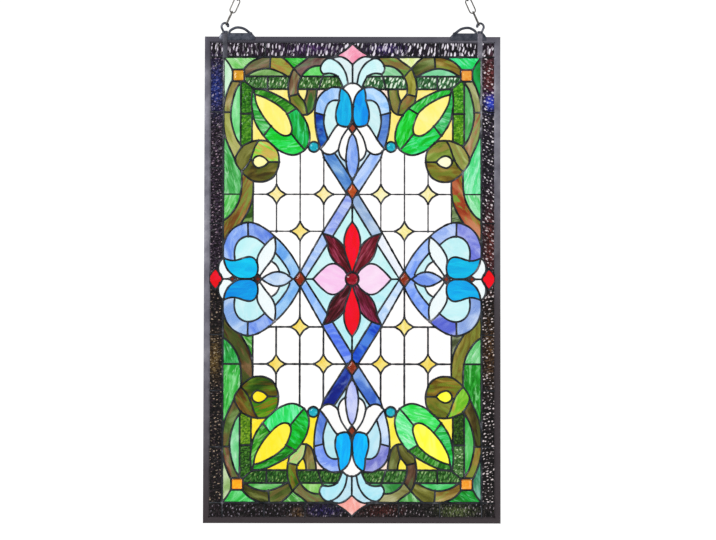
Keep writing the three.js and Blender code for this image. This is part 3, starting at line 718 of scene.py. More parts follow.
# Every piece of one kind of glass as a closed slab: its triangles in front, with a relief, the same behind,
# and a wall round its outline, whose points are drawn in along the sum of their two sides' normals.
def glassSolid(kind, relief):
    mine = (pieceKind[pieceOf] == kind) & (pieceArea[pieceOf] > cutting["least"])
    key, corner = np.unique(pieceOf[mine][:, None] * len(verts2d) + tris2d[mine], return_inverse=True)
    corner = corner.reshape(-1, 3)
    piece, at = key // len(verts2d), verts2d[key % len(verts2d)]
    sides = np.concatenate([corner[:, [0, 1]], corner[:, [1, 2]], corner[:, [2, 0]]])
    rim = sides[~np.isin(sides @ (len(key), 1), sides @ (1, len(key)))]     # those that no other runs back
    way = at[rim[:, 1]] - at[rim[:, 0]]
    inward = np.stack([-way[:, 1], way[:, 0]], -1) / np.linalg.norm(way, axis=1, keepdims=True)
    push = np.zeros_like(at)
    np.add.at(push, rim[:, 0], inward)
    np.add.at(push, rim[:, 1], inward)
    long = np.linalg.norm(push, axis=1)
    at = at + push * (cutting["gap"] / np.maximum(long, 0.6))[:, None]
    x, z = at.T
    front = -panel["glassHalf"] - np.where(long > 0, 0, relief(x, z, piece))
    points = np.concatenate([np.stack([x, front, z], -1), np.stack([x, 0 * x + panel["glassHalf"], z], -1)])
    faces, count = corner[:, [0, 1, 2, 2]], len(at)
    walls = np.concatenate([rim[:, ::-1], rim + count], -1)
    return (points, np.concatenate([faces, flipFaces(faces + count), walls])), np.tile(piece, 2)


# The heading of each piece's longest axis: half the angle of (2 xz, xx - zz), from its second moments.
def longAxis():
    x, z = (triMiddle - pieceMiddle[pieceOf]).T
    xz, xx, zz = (np.bincount(pieceOf, triArea * product, len(pieceArea))
                  for product in (x * z, x ** 2, z ** 2))
    return 0.5 * np.arctan2(2 * xz, xx - zz)


streaks = {                   # headings in radians, and how much they vary
    "alongKinds": ["vine", "cathedral", "ruby"],
    "alongNames": ["sideMint", "archMint", "sideUpper", "sideLower", "topLens", "sideLens", "cornerSide",
                   "bandTop"],
    "alongVary": 0.15,
    "borderTop": 1.42, "borderTopVary": 0.12,
    "borderSide": [0.15, -0.55, 0.05, 0.2], "borderSideVary": 0.2,     # by quarter
    "stripAcross": 1.2, "stripUpper": 0.35, "stripLower": 0.35,
    "shift": 400,             # millimetres that a sheet is moved under its piece
}


# The direction that the streaks of each piece run, and how far its sheet was shifted. Long pieces are cut
# along the grain, and leaves and lenses across the sheet at random.
def streakHeadings():
    s, total = streaks, len(pieceArea)
    draw = np.random.default_rng(7)
    heading = draw.uniform(0, math.pi, total)
    along = np.isin(pieceKind, s["alongKinds"]) | np.isin(pieceName, s["alongNames"])
    heading[along] = (longAxis() + draw.uniform(-s["alongVary"], s["alongVary"], total))[along]
    shift = draw.uniform(-s["shift"], s["shift"], (total, 3))
    x, z = np.abs(pieceMiddle).T
    level, upright = z > panel["borderZ"], (x > panel["borderX"]) & (z <= panel["borderZ"])
    heading[level] = s["borderTop"] + draw.uniform(-s["borderTopVary"], s["borderTopVary"], level.sum())
    heading[upright] = (np.array(s["borderSide"])[pieceQuarter[upright]]
                        + draw.uniform(-s["borderSideVary"], s["borderSideVary"], upright.sum()))
    for strip in ("stripAcross", "stripUpper", "stripLower"):
        heading[pieceName == strip] = s[strip]
    return heading, shift


pieceHeading, pieceShift = streakHeadings()


# How far points lie along the streaks of their pieces and across them: x cos + z sin, and z cos - x sin.
def alongAndAcross(x, z, piece):
    heading = pieceHeading[piece]
    return x * np.cos(heading) + z * np.sin(heading), -x * np.sin(heading) + z * np.cos(heading)


# Broad clouds of another colour in the border: middle, half extents and colour.
borderClouds = {
    "blueTopLeft": ((-234, 328), (16, 34), "1c2c74"),
    "blueRight": ((238, 305), (9, 12), "2444c8"),
    "redRight": ((236, 350), (10, 30), "5c2222"),
    "amberLeft": ((-236, -135), (10, 30), "584420"),
    "oliveBottom": ((178, -396), (26, 9), "48542c"),
    "brownBottom": ((-90, -400), (12, 8), "4a3414"),
    "plumTop": ((-70, 396), (40, 8), "3c2050"),
    "plumTopRight": ((60, 396), (24, 8), "34205a"),
    "navyBottom": ((-48, -396), (26, 9), "1e1444"),
    "rustBottom": ((52, -396), (32, 9), "34100c"),
    "rustRight": ((236, 60), (10, 60), "4c1c18"),
    "brownRight": ((236, -120), (10, 50), "40280f"),
}


# Each point's tint, mixed with a border cloud's colour c by exp(-d^2), d in half extents, and its second
# colour, mixed with c^0.45 by half of that.
def cloudedTint(points, piece):
    tint, other = pieceTint[piece], pieceOther[piece]
    border = (pieceName[piece] == "border")[:, None]
    for middle, extent, colour in borderClouds.values():
        d = (points[:, [0, 2]] - middle) / extent
        share = np.exp(-(d * d).sum(1))[:, None] * border
        tint += share * (linear(colour) - tint)
        other[:, :3] += 0.5 * share * (linear(colour) ** 0.45 - other[:, :3])
    return np.concatenate([tint, np.ones((len(piece), 1))], -1), other


# Tint and second colour of each point, and its grain: how far it lies along and across the streaks.
def glassAttributes(points, piece):
    along, across = alongAndAcross(points[:, 0], points[:, 2], piece)
    stretch = np.array([ridgeStretch.get(place, 1.0) for place in piecePlace])[piece]
    shift = pieceShift[piece]
    tint, other = cloudedTint(points, piece)
    return {"tint": tint, "other": other,
            "grain": np.stack([along * stretch + shift[:, 0], across + shift[:, 1], shift[:, 2]], -1)}


# Hand rolled sheet: a slow wave that differs from piece to piece.
def rollWave(x, z, piece):
    return 0.12 * waves(x + piece * 37, z, 28, 11) / 2 + 0.05


# Ripple glass: steep ridges, stretched along the sheet.
def rippleWave(x, z, piece):
    along, across = alongAndAcross(x, z, piece)
    return 0.28 * np.clip(waves(along / 2.4, across, 7, 5), -1, 1.4)


# The finishes of the glass read three attributes of the piece: "tint", the colour of its sheet, "other", the
# second colour in it, and "grain", its own coordinates in millimetres along and across the streaks.


# The grain, divided so that one unit is a length along the streaks and a width across them.
def readGrain(tree, length, width, shift=0.0):
    grain = addNode(tree, "Attribute", attribute_name="grain")
    return addNode(tree, "Mapping", Vector=grain.outputs["Vector"], Location=(shift, shift, shift),
                   Scale=(1 / length, 1 / width, 1))


# Coloured sheet glass. Its tint is raised to a power that wanders between the two depths, as thicker colour
# is deeper; wisps of the second colour cross it; and the surface has a soft bump.
def sheetGlass(name, roughness, streak, depth, wisp, bump):
    finish, tree = newFinish(name)
    tint, other = (addNode(tree, "Attribute", attribute_name=key) for key in ("tint", "other"))
    cloud = addNode(tree, "TexNoise", Vector=readGrain(tree, *streak), Scale=1.0, Detail=3.0, Roughness=0.55,
                    Distortion=0.8)
    power = addNode(tree, "MapRange", cloud, 0.3, 0.7, *depth, interpolation_type="SMOOTHSTEP")
    crossing = readGrain(tree, streak[0] * 1.2, streak[1] * 0.8, 7.3)
    wisps = addNode(tree, "TexNoise", Vector=crossing, Scale=1.0, Detail=3.0, Roughness=0.6, Distortion=1.5)
    share = addNode(tree, "MapRange", wisps, wisp[0], wisp[1], 0.0, wisp[2], interpolation_type="SMOOTHSTEP")
    mix = addNode(tree, "Mix", data_type="RGBA", Factor=share, A=addNode(tree, "Gamma", tint, power), B=other)
    pebble = addNode(tree, "TexNoise", Vector=readGrain(tree, bump[0], bump[0]), Scale=1.0, Detail=2.0)
    roll = addNode(tree, "Bump", Strength=0.6, Distance=bump[1] * mm, Height=pebble)
    surface = addNode(tree, "BsdfPrincipled", Base_Color=mix.outputs["Result"], Normal=roll,
                      Roughness=roughness, IOR=1.5, Transmission_Weight=1.0)
    addNode(tree, "OutputMaterial", Surface=surface)
    return finish


# Cathedral glass, machine rolled and clear: one strong colour with a faint wave.
cathedralGlass = sheetGlass("cathedral_glass", 0.08, (40, 12), (0.8, 1.25), (0.62, 0.8, 0.3), (9, 0.25))
# Opal glass, rolled: milky, nearly even, with a soft gleam.
opalGlass = sheetGlass("opal_glass", 0.3, (45, 16), (0.8, 1.2), (0.5, 0.7, 0.5), (7, 0.2))
# Wispy glass, rolled from clear and opal together: pale smoke drifts through the colour.
wispyGlass = sheetGlass("wispy_glass", 0.22, (42, 22), (0.75, 1.7), (0.55, 0.75, 0.4), (6, 0.25))
# Streaky glass, hand mixed: deep and thin colour run side by side.
streakyGlass = sheetGlass("streaky_glass", 0.22, (30, 9), (0.7, 1.9), (0.52, 0.66, 0.65), (5, 0.3))
# Two tone streaky glass, brown and green mixed in the ladle.
vineGlass = sheetGlass("two_tone_glass", 0.22, (60, 20), (0.65, 1.6), (0.45, 0.6, 0.7), (5, 0.3))
# Clear window sheet: nearly no colour, a faint roll wave.
clearGlass = sheetGlass("clear_glass", 0.05, (60, 30), (0.8, 1.3), (0.5, 0.8, 0.3), (14, 0.1))
# Ruby glass, rolled with gold or selenium: dark wine, with a few glowing red streaks.
rubyGlass = sheetGlass("ruby_glass", 0.1, (34, 4.5), (0.7, 2.0), (0.6, 0.74, 0.22), (6, 0.3))

ripple = {
    "pitchAlong": 12.0,       # millimetres between dashes along the ridges, and across them
    "pitchAcross": 6.2,
    "halfAlong": 0.42,        # half a dash, as a share of the pitch
    "halfAcross": 0.24,
    "vary": 0.6,              # how much the dashes differ in size
}


# Ripple glass, rolled over a ridged plate: dark sheet with painted highlights, short dashes of pale colour
# where its ridges catch the light. One dash lies round each point p of a jittered grid, where the length of
# (u - p) / half is under the size.
def rippleGlassFinish():
    finish, tree = newFinish("ripple_glass")
    tint, other = (addNode(tree, "Attribute", attribute_name=key) for key in ("tint", "other"))
    wander = addNode(tree, "TexNoise", Vector=readGrain(tree, 9, 6, 3.1), Scale=1.0, Detail=2.0)
    grid = addNode(tree, "VectorMath", wander.outputs["Color"], (0.5, 0.9, 0),
                   readGrain(tree, ripple["pitchAlong"], ripple["pitchAcross"]), operation="MULTIPLY_ADD")
    cell = addNode(tree, "TexVoronoi", voronoi_dimensions="2D", Vector=grid, Scale=1.0, Randomness=0.8)
    offset = addNode(tree, "VectorMath", grid, cell.outputs["Position"], operation="SUBTRACT")
    half = (ripple["halfAlong"], ripple["halfAcross"], 1e6)
    far = addNode(tree, "VectorMath", addNode(tree, "VectorMath", offset, half, operation="DIVIDE"),
                  operation="LENGTH")
    chance = addNode(tree, "SeparateColor", cell.outputs["Color"])
    reach = addNode(tree, "Math", chance, ripple["vary"], other.outputs["Alpha"], operation="MULTIPLY_ADD")
    inside = addNode(tree, "Math", reach, far.outputs["Value"], operation="SUBTRACT")
    middle = ripple["vary"] / 2
    shape = addNode(tree, "MapRange", inside, middle, middle + 0.45, interpolation_type="SMOOTHSTEP")
    strength = addNode(tree, "MapRange", chance.outputs["Green"], 0.0, 0.7, 0.3,
                       interpolation_type="SMOOTHSTEP")
    dash = addNode(tree, "Math", shape, strength, operation="MULTIPLY")
    ridges = addNode(tree, "TexNoise", Vector=readGrain(tree, 8, 2.6, 1.7), Scale=1.0, Detail=3.0,
                     Distortion=0.6)
    power = addNode(tree, "MapRange", ridges, 0.32, 0.68, 1.7, 0.7, interpolation_type="SMOOTHSTEP")
    # The dashes are painted highlights, mixed into the sheet's colour.
    mix = addNode(tree, "Mix", data_type="RGBA", Factor=dash, A=addNode(tree, "Gamma", tint, power), B=other)
    roll = addNode(tree, "Bump", Strength=0.6, Distance=0.5 * mm, Height=ridges)
    surface = addNode(tree, "BsdfPrincipled", Base_Color=mix.outputs["Result"], Normal=roll, Roughness=0.15,
                      IOR=1.5, Transmission_Weight=1.0)
    addNode(tree, "OutputMaterial", Surface=surface)
    return finish


# Each kind of glass: its piece, finish, relief and slot, and how the CAD nodes that it stands for begin.
glassKinds = {
    "clear": ("glass_lattice", clearGlass, rollWave, "pale_glass", ("glass_field",)),
    "opal": ("glass_opal", opalGlass, rollWave, "pale_glass", ("petal_pink", "leaf_heart")),
    "wispy": ("glass_wispy", wispyGlass, rollWave, "pale_glass", ("kite_pink",)),
    "streaky": ("glass_streaky", streakyGlass, rollWave, "pale_glass", ()),
    "vine": ("glass_two_tone", vineGlass, rollWave, "pale_glass", ()),
    "cathedral": ("glass_cathedral", cathedralGlass, rollWave, "turquoise_glass",
                  ("petal_red", "petal_turquoise", "kite_red")),
    "ruby": ("glass_ruby", rubyGlass, rollWave, "red_glass", ("petal_dark",)),
    "ripple": ("glass_ripple", rippleGlassFinish(), rippleWave, "pale_glass", ()),
}
for kind, (name, finish, relief, slotName, starts) in glassKinds.items():
    shape, piece = glassSolid(kind, relief)
    nodes = [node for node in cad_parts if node.startswith(starts)]
    makePiece(name, shape, finish, slotName, nodes, smooth=False, **glassAttributes(shape[0], piece))
    print(name, len(shape[1]), "faces")

solder = {
    "width": 3.4,             # of a bead, from edge to edge
    "lattice": (2.3, 3.3),    # width in the lattice, above the middle and below it
    "tileSeam": 2.2,
    "border": 3.7,
    "height": 1.25,           # the crest above the glass
    "sunk": 0.12,             # how far the bead's foot goes into the gap between the pieces
    "fillet": (2.6, 2.4, 2.4),  # the bead that seals the glass to the channel: top, sides and bottom
    "filletHeight": 0.8,
    "uneven": 0.14,           # share by which width and height wander
    "blob": 2.3,              # radius of a blob, where lines meet
    "apart": 3.0,             # the cell in which two meetings count as one
    "sides": 7,
    "clouds": 22.222,         # length of the clouds of patina
    "lumps": 2.6316,          # length of the lumps in the metal
}


# A half round bead along a path: its section is the arch (width / 2 cos t, height sin t), closed by its foot.
def beadShape(path, width, height, seed):
    way = np.gradient(path, axis=0)
    way /= np.maximum(np.linalg.norm(way, axis=1, keepdims=True), 1e-9)
    side = np.stack([way[:, 1], -way[:, 0]], -1)
    t = np.linspace(0, math.pi, solder["sides"])
    wander = 1 + solder["uneven"] * waves(path[:, 0], path[:, 1], 11, seed) / 2
    across = (width / 2) * wander[:, None] * np.cos(t)
    rise = height * (2 - wander)[:, None] * np.sin(t)
    rise[:, [0, -1]] = -solder["sunk"]
    x, z = path.T[:, :, None] + side.T[:, :, None] * across
    points = np.stack([x, -panel["glassHalf"] - rise, z], -1).reshape(-1, 3)
    return points, tubeFaces(len(path), len(t), fanFaces(len(t)))


# Low domes: two rings of eight points at the angles u, radius cos u wide and height sin u high, and a tip.
# Their sizes vary by a wave of their places.
def blobShape(centres, radius, height, ground=panel["glassHalf"]):
    count = 8
    turn = np.arange(count) / count * 2 * math.pi
    ring = [np.stack([np.cos(u) * np.cos(turn), np.full(count, np.sin(u)), np.cos(u) * np.sin(turn)], -1)
            for u in (0, math.pi / 4)]
    dome = np.concatenate([*ring, [[0, 1, 0]]])
    sizes = radius * (1 + 0.18 * np.sin(centres[:, 0] * 1.3 + centres[:, 1] * 0.7))
    points = dome * np.stack([sizes, np.full(len(sizes), -height), sizes], -1)[:, None]
    points += np.stack([centres[:, 0], np.full(len(sizes), -ground), centres[:, 1]], -1)[:, None]
    points[:, :count, 1] += solder["sunk"]
    top = np.arange(count) + count
    tip = np.full(count, 2 * count)
    one = np.concatenate([gridFaces(2, count), np.stack([top, np.roll(top, -1), tip, tip], -1),
                          flipFaces(fanFaces(count))])
    return points.reshape(-1, 3), (one + (np.arange(len(centres)) * len(dome))[:, None, None]).reshape(-1, 4)


# Points inside the lips where three or more lead lines meet, one in each cell of a square grid.
def junctions():
    ends, degree = np.unique(cutLines.ravel(), return_counts=True)
    found = verts2d[ends[degree >= 3]]
    found = found[(np.abs(found) < openHalf - 1).all(1)]
    cell = np.round(found / solder["apart"]).astype(int)
    return found[np.unique(cell, axis=0, return_index=True)[1]]


# All beads and blobs of the front face. A thin bead is lower: its height is as 1 to 3 of its width.
def solderNet():
    reach = openHalf + 0.5
    shapes = []
    for i, (motif, path) in enumerate(quarter):
        path = np.clip(path, -reach, reach)
        path = path[np.concatenate([[True], np.linalg.norm(np.diff(path, axis=0), axis=1) > 1e-3])]
        for sx, sz in quarters:
            width = {"border": solder["border"], "tileSeam": solder["tileSeam"],
                     "lattice": solder["lattice"][sz < 0]}.get(motif, solder["width"])
            shapes.append(mirrored(beadShape(path, width, solder["height"] * min(1, width / 3), i), sx, sz))
    return joinShapes([*shapes, blobShape(junctions(), solder["blob"], solder["height"] * 1.12)])


# The bead along the inside of the channel, on the front face.
def filletShape():
    (top, sides, bottom), height = solder["fillet"], solder["filletHeight"]
    x, z = openHalf + 1
    lines = [((-x, z - top / 2), (x, z - top / 2), top),
             ((x, -z + bottom / 2), (-x, -z + bottom / 2), bottom),
             ((x - sides / 2, z), (x - sides / 2, -z), sides),
             ((-x + sides / 2, -z), (-x + sides / 2, z), sides)]
    return joinShapes([beadShape(evenly(np.array([start, stop]), beadStep * 2), width, height, 77)
                       for start, stop, width in lines])


# Places where painted highlights brighten the solder: middle, half extents and how bright.
rubbed = {
    "strapLeft": ((-221, 350), (5, 60), 0.6),
    "strapRight": ((222, 320), (4, 80), 1.0),
    "jewelLeft": ((-196, 366), (14, 5), 0.5),
    "jewelRight": ((205, 364), (12, 6), 0.6),
    "curlRight": ((190, 186), (8, 12), 0.4),
    "medallionLeft": ((-132, -74), (9, 7), 0.6),
    "medallionRight": ((132, -74), (9, 7), 0.6),
    "bottomLeft": ((-221, -390), (4, 14), 0.5),
    "plume": ((20, 330), (30, 6), 0.3),
}


# How bright the painted highlight is at each point of the bead: the largest of k exp(-d^2), d in half
# extents.
def rubbedShare(points):
    share = [k * np.exp(-(((points[:, [0, 2]] - middle) / extent) ** 2).sum(1))
             for middle, extent, k in rubbed.values()]
    return np.repeat(np.maximum.reduce(share)[:, None], 3, 1)


# Tin-lead solder with a black patina: dark and waxy, with soft lumps, and lightened in places on the crest by
# painted highlights.
def solderFinish():
    finish, tree = newFinish("patinated_solder")
    place = addNode(tree, "TexCoord").outputs["Object"]
    cloud = addNode(tree, "TexNoise", Vector=place, Scale=1 / (solder["clouds"] * mm), Detail=4.0,
                    Roughness=0.65)
    # The painted highlight raises the colour towards the bright stop of the ramp.
    rub = addNode(tree, "Attribute", attribute_name="rub")
    bright = addNode(tree, "Math", rub.outputs["Fac"], 0.34, cloud, operation="MULTIPLY_ADD")
    colour = addNode(tree, "ValToRGB", bright, stops=[(0.35, "20242a"), (0.6, "50545a"), (0.8, "a8a8b0")])
    rough = addNode(tree, "MapRange", cloud, 0.0, 1.0, 0.5, 0.26)
    lumps = addNode(tree, "TexNoise", Vector=place, Scale=1 / (solder["lumps"] * mm), Detail=2.0)
    bump = addNode(tree, "Bump", Strength=0.5, Distance=0.25 * mm, Height=lumps)
    surface = addNode(tree, "BsdfPrincipled", Base_Color=colour, Metallic=0.85, Roughness=rough, Normal=bump)
    addNode(tree, "OutputMaterial", Surface=surface)
    return finish


patinatedSolder = solderFinish()
net = solderNet()
# Painted highlights on the beads, at the places listed above.
rub = rubbedShare(net[0])
makePiece("solder_front", net, patinatedSolder, "solder", ["lead_lines"], rub=rub)
makePiece("solder_back", mirrored(net, sy=-1), patinatedSolder, "solder", rub=rub)
print("solder:", len(net[1]), "faces a side")


# A closed outline with each corner rounded: the arc is the curve (1-s)^2 a + 2s(1-s) p + s^2 b, where a and b
# lie on the two sides, a radius from the corner p.
def roundedOutline(corners, radius, steps=5):
    p = np.asarray(corners, float)
    radius = np.broadcast_to(radius, len(p))[:, None]
    before, after = np.roll(p, 1, 0) - p, np.roll(p, -1, 0) - p
    a = p + before / np.linalg.norm(before, axis=1, keepdims=True) * radius
    b = p + after / np.linalg.norm(after, axis=1, keepdims=True) * radius
    s = np.linspace(0, 1, steps)[None, :, None]
    return ((1 - s) ** 2 * a[:, None] + 2 * s * (1 - s) * p[:, None] + s ** 2 * b[:, None]).reshape(-1, 2)


# A circle as a section: half the diameter times (cos, sin).
def roundSection(diameter, sides=12):
    return arcPath((0, 0), diameter / 2, count=sides + 1)[:-1]


# Carries a section along a path that lies square to the flat axis: each point is
# centre + size (p side + q flat), where side is the way along the path crossed with the flat axis.
def sweep(path, section, flat, closed=False, size=1.0):
    path, flat = np.asarray(path, float), np.asarray(flat, float)
    way = np.roll(path, -1, 0) - np.roll(path, 1, 0) if closed else np.gradient(path, axis=0)
    side = np.cross(way, flat)
    side /= np.linalg.norm(side, axis=1, keepdims=True)
    size = np.broadcast_to(size, len(path))[:, None, None]
    points = path[:, None] + size * (section[:, 0, None] * side[:, None] + section[:, 1, None] * flat)
    rows, columns = points.shape[:2]
    faces = gridFaces(rows, columns, True) if closed else tubeFaces(rows, columns, fanFaces(columns))
    return outward((points.reshape(-1, 3), faces))


# Sizes that close a wire's ends like a ball: the root of 1 - (1 - d/r)^2 at a distance d from the end.
def roundedEnds(path, radius, least=0.25):
    run = runAlong(path)
    d = np.clip(np.minimum(run, run[-1] - run) / radius, 0, 1)
    return np.maximum(np.sqrt(1 - (1 - d) ** 2), least)


# Points of the x, z plane as points in space.
def inPlane(path2d, y=0.0):
    return np.stack([path2d[:, 0], np.full(len(path2d), y), path2d[:, 1]], -1)


# Worn metal: three colours by a cloudy noise, smoother where it is brighter, with fine dents. Each shade is
# mixed in by a smooth step of x a + z b, where a and b are its slope, between its two levels. Clouds and
# dents have their sizes in millimetres, and dents their depth.
def metalFinish(name, metallic, colours, cloudSize, roughness, dent, shades=()):
    finish, tree = newFinish(name)
    place = addNode(tree, "TexCoord").outputs["Object"]
    cloud = addNode(tree, "TexNoise", Vector=place, Scale=1 / (cloudSize * mm), Detail=4.0, Roughness=0.62)
    colour = addNode(tree, "ValToRGB", cloud, stops=zip((0.36, 0.56, 0.72), colours)).outputs["Color"]
    for slope, levels, shade in shades:
        reach = addNode(tree, "VectorMath", place, (slope[0], 0, slope[1]), operation="DOT_PRODUCT")
        share = addNode(tree, "MapRange", reach.outputs["Value"], *levels, interpolation_type="SMOOTHSTEP")
        mix = addNode(tree, "Mix", data_type="RGBA", Factor=share, A=colour, B=rgba(shade))
        colour = mix.outputs["Result"]
    rough = addNode(tree, "MapRange", cloud, 0.35, 0.7, *roughness, interpolation_type="SMOOTHSTEP")
    dents = addNode(tree, "TexNoise", Vector=place, Scale=1 / (dent[0] * mm), Detail=2.0)
    bump = addNode(tree, "Bump", Strength=0.5, Distance=dent[1] * mm, Height=dents)
    surface = addNode(tree, "BsdfPrincipled", Base_Color=colour, Metallic=metallic, Roughness=rough,
                      Normal=bump)
    addNode(tree, "OutputMaterial", Surface=surface)
    return finish


# Rolled zinc channel, darkened with patina: dull purple grey that thins to bare metal in patches, with
# painted shade that makes it darker and browner at the lower right, and slate along the top.
topEdge = barHigh.z
zincChannel = metalFinish("patinated_zinc", 0.9, ("8c8a98", "a8a6b4", "c8c6d2"), 30, (0.62, 0.42), (3, 0.1),
                          [((0.6, -1), (0.4, 0.8), "5c5458"),
                           ((-0.12, 1), (topEdge - 0.07, topEdge + 0.01), "64626e")])
# Forged iron dipped in patina: blue grey, with paler rubbed patches.
forgedIron = metalFinish("patinated_iron", 0.9, ("4a505e", "686c7a", "9a9ca8"), 9, (0.6, 0.36), (1.6, 0.12))
# Straps tinned with solder: lilac grey, with painted shade that darkens the left one.
tinnedSteel = metalFinish("tinned_steel", 0.9, ("8c8a98", "b0aebc", "dcd8e8"), 7, (0.5, 0.3), (2, 0.1),
                          [((-1, 0), (-0.05, 0.05), "686872")])
# Nickelled steel wire of the chain and hooks, gone dull.
chainSteel = metalFinish("dull_nickel_steel", 1.0, ("6c6a68", "98948f", "c8c4be"), 5, (0.45, 0.25),
                         (1.2, 0.04))

channel = {
    "half": 4.0,              # half its depth
    "web": 3.3,               # the outer wall
    "slot": 1.8,              # half the slot that takes the glass
    "outerRound": 1.1,
    "lipRound": 0.7,
    "slotRound": 0.2,
    "mitreGap": 0.02,
    "dent": 0.07,
    "step": 9,                # millimetres between sections along the bar
    "sharp": 35,              # degrees of an edge that isn't smooth
}


# One bar along +X with its web at z = 0 and its lips up, mitred: each section point at height u stands at
# length / 2 - u from the middle, and its depth shrinks by an eighth of the dents' waves.
def channelBar(length):
    half, web, slot, face = channel["half"], channel["web"], channel["slot"], panel["lip"]
    corners = [(-half, 0), (-half, face), (-slot, face), (-slot, web),
               (slot, web), (slot, face), (half, face), (half, 0)]
    outer, lip, inner = channel["outerRound"], channel["lipRound"], channel["slotRound"]
    ring = roundedOutline(corners, [outer, lip, lip, inner, inner, lip, lip, outer])
    rows = int(length / channel["step"])
    along = np.linspace(-1, 1, rows)[:, None] * (length / 2 - ring[:, 1] - channel["mitreGap"])
    x, y, u = (values.ravel() for values in np.broadcast_arrays(along, ring[:, 0], ring[:, 1]))
    dent = channel["dent"] * waves(x + u * 2, y * 3, 60, int(length))
    points = np.stack([x, y * (1 - np.abs(dent) / 8), u], -1)
    return points, tubeFaces(rows, len(ring), innerFaces(ring))


# The four bars, each turned and moved to its side: u is the height above the web.
def frameShapes():
    halfX, halfZ = panel["halfWidth"], panel["halfHeight"]
    (level, levelFaces), (upright, uprightFaces) = channelBar(2 * halfX), channelBar(2 * halfZ)
    x, y, u = level.T
    z, v, w = upright.T
    return {"bottom": (np.stack([x, y, u - halfZ], -1), levelFaces),
            "top": (np.stack([x, y, halfZ - u], -1), levelFaces),
            "left": (np.stack([w - halfX, v, z], -1), uprightFaces),
            "right": (np.stack([halfX - w, v, z], -1), uprightFaces)}


for side, shape in frameShapes().items():
    makePiece("channel_" + side, outward(shape), zincChannel, "zinc_channel", ["frame_" + side],
              sharp=channel["sharp"])
fillet = filletShape()
makePiece("solder_fillet_front", fillet, zincChannel, "solder")
makePiece("solder_fillet_back", mirrored(fillet, sy=-1), zincChannel, "solder")
print("channel frame")

hanger = {
    "inner": 168.0, "outer": 229.0, "topInner": 173.5, "topOuter": 225.5,
    "top": 422.8, "bottom": 410.5, "wall": 1.6, "clear": 0.08,
    "strapX": 219.0, "strapWidth": 8.4, "strapThickness": 1.6, "strapTop": 426.5, "strapBottom": 380.0,
    "strapHigh": -5.3, "strapLow": -3.9, "bendTop": 407.2, "bendBottom": 401.0,
    "scroll": (219.2, 434.3), "scrollFoot": (221.3, 423.0), "scrollBend": 6.4, "scrollWire": 3.8,
    "scrollFrom": -35, "tightFrom": 120, "scrollTo": 195, "tipBend": 4.2, "linkSeat": 3.4,
    "arch": [(212.3, 422.5), (211, 427), (203.8, 431.6), (196.5, 432.9), (187, 430.8), (179.5, 425.6),
             (173.6, 419.9)],
    "archBar": 4.5,
    "drops": [(216.5, 424.0), (221.5, 423.5), (174.8, 421.5)],    # of solder, at the joints
    "sharp": 40,              # degrees of an edge that isn't smooth
}


# An inverted trough over the bar: above the bar, its height eases from nearly nothing at both ends to 1.
def saddleShape():
    h = hanger
    inner, roof = channel["half"] + h["clear"], panel["halfHeight"] + h["clear"]
    outer, bottom, top = inner + h["wall"], h["bottom"], h["top"]
    corners = [(-outer, bottom), (-outer, top), (outer, top), (outer, bottom),
               (inner, bottom), (inner, roof), (-inner, roof), (-inner, bottom)]
    ring = roundedOutline(corners, [0.5, 1.6, 1.6, 0.5, 0.5, 0.2, 0.2, 0.5])
    ends = [h["inner"], h["topInner"], h["topOuter"], h["outer"]]
    stations = np.concatenate([np.linspace(ends[0], ends[1], 6), np.linspace(ends[1], ends[2], 20)[1:],
                               np.linspace(ends[2], ends[3], 6)[1:]])
    rise = np.interp(stations, ends, [0.06, 1, 1, 0.06])
    z = np.minimum(ring[:, 1], roof) + rise[:, None] * np.maximum(ring[:, 1] - roof, 0)
    x, y, z = np.broadcast_arrays(stations[:, None], ring[:, 0], z)
    faces = tubeFaces(len(stations), len(ring), innerFaces(ring))
    return outward((np.stack([x, y, z], -1).reshape(-1, 3), faces))


# A flat bar bent back over the channel's lip: its side line in y and z, swept with a rounded section.
def strapShape():
    h = hanger
    high, low = h["strapHigh"], h["strapLow"]
    side = evenly(smoothCurve([(high, h["strapTop"]), (high, 417), (high, h["bendTop"]),
                               (low, h["bendBottom"]), (low, 392), (low, h["strapBottom"])]), 1.2)
    path = np.stack([np.full(len(side), h["strapX"]), side[:, 0], side[:, 1]], -1)
    t, w = h["strapThickness"] / 2, h["strapWidth"] / 2
    return sweep(path, roundedOutline([(-t, -w), (t, -w), (t, w), (-t, w)], 0.5), (1, 0, 0))


# A bar along the arch's curve, a little thinner near its ends.
def archShape():
    path = inPlane(evenly(smoothCurve(hanger["arch"]), 1.0))
    size = 0.86 + 0.14 * roundedEnds(path, 8)
    return sweep(path, roundSection(hanger["archBar"], 14), (0, 1, 0), size=size)


# A wire up from the strap and round the first link: an arc whose radius eases from the bend's to the tip's
# by (1 + cos) / 2 over its last part, with the wire swelling into a ball at its end.
def scrollShape():
    h = hanger
    turn = np.linspace(h["scrollFrom"], h["scrollTo"], 40)
    ease = np.clip((turn - h["tightFrom"]) / (h["scrollTo"] - h["tightFrom"]), 0, 1)
    radius = h["tipBend"] + (h["scrollBend"] - h["tipBend"]) * (1 + np.cos(math.pi * ease)) / 2
    at = np.radians(turn)
    bend = np.stack([h["scroll"][0] + radius * np.cos(at), h["scroll"][1] + radius * np.sin(at)], -1)
    path = inPlane(evenly(smoothCurve(np.vstack([h["scrollFoot"], bend[::3]]), 6), 0.7))
    run = np.linspace(0, 1, len(path))
    swell = 1 + 0.35 * np.clip((run - 0.84) / 0.16, 0, 1)
    return sweep(path, roundSection(h["scrollWire"], 14), (0, 1, 0), size=swell * roundedEnds(path, 1.9))


# The iron of one hanger, with the drops of solder that join it.
def hangerShape():
    drops = blobShape(np.array(hanger["drops"]), 2.6, 1.6, panel["glassHalf"] + channel["half"])
    return joinShapes([saddleShape(), archShape(), scrollShape(), drops])


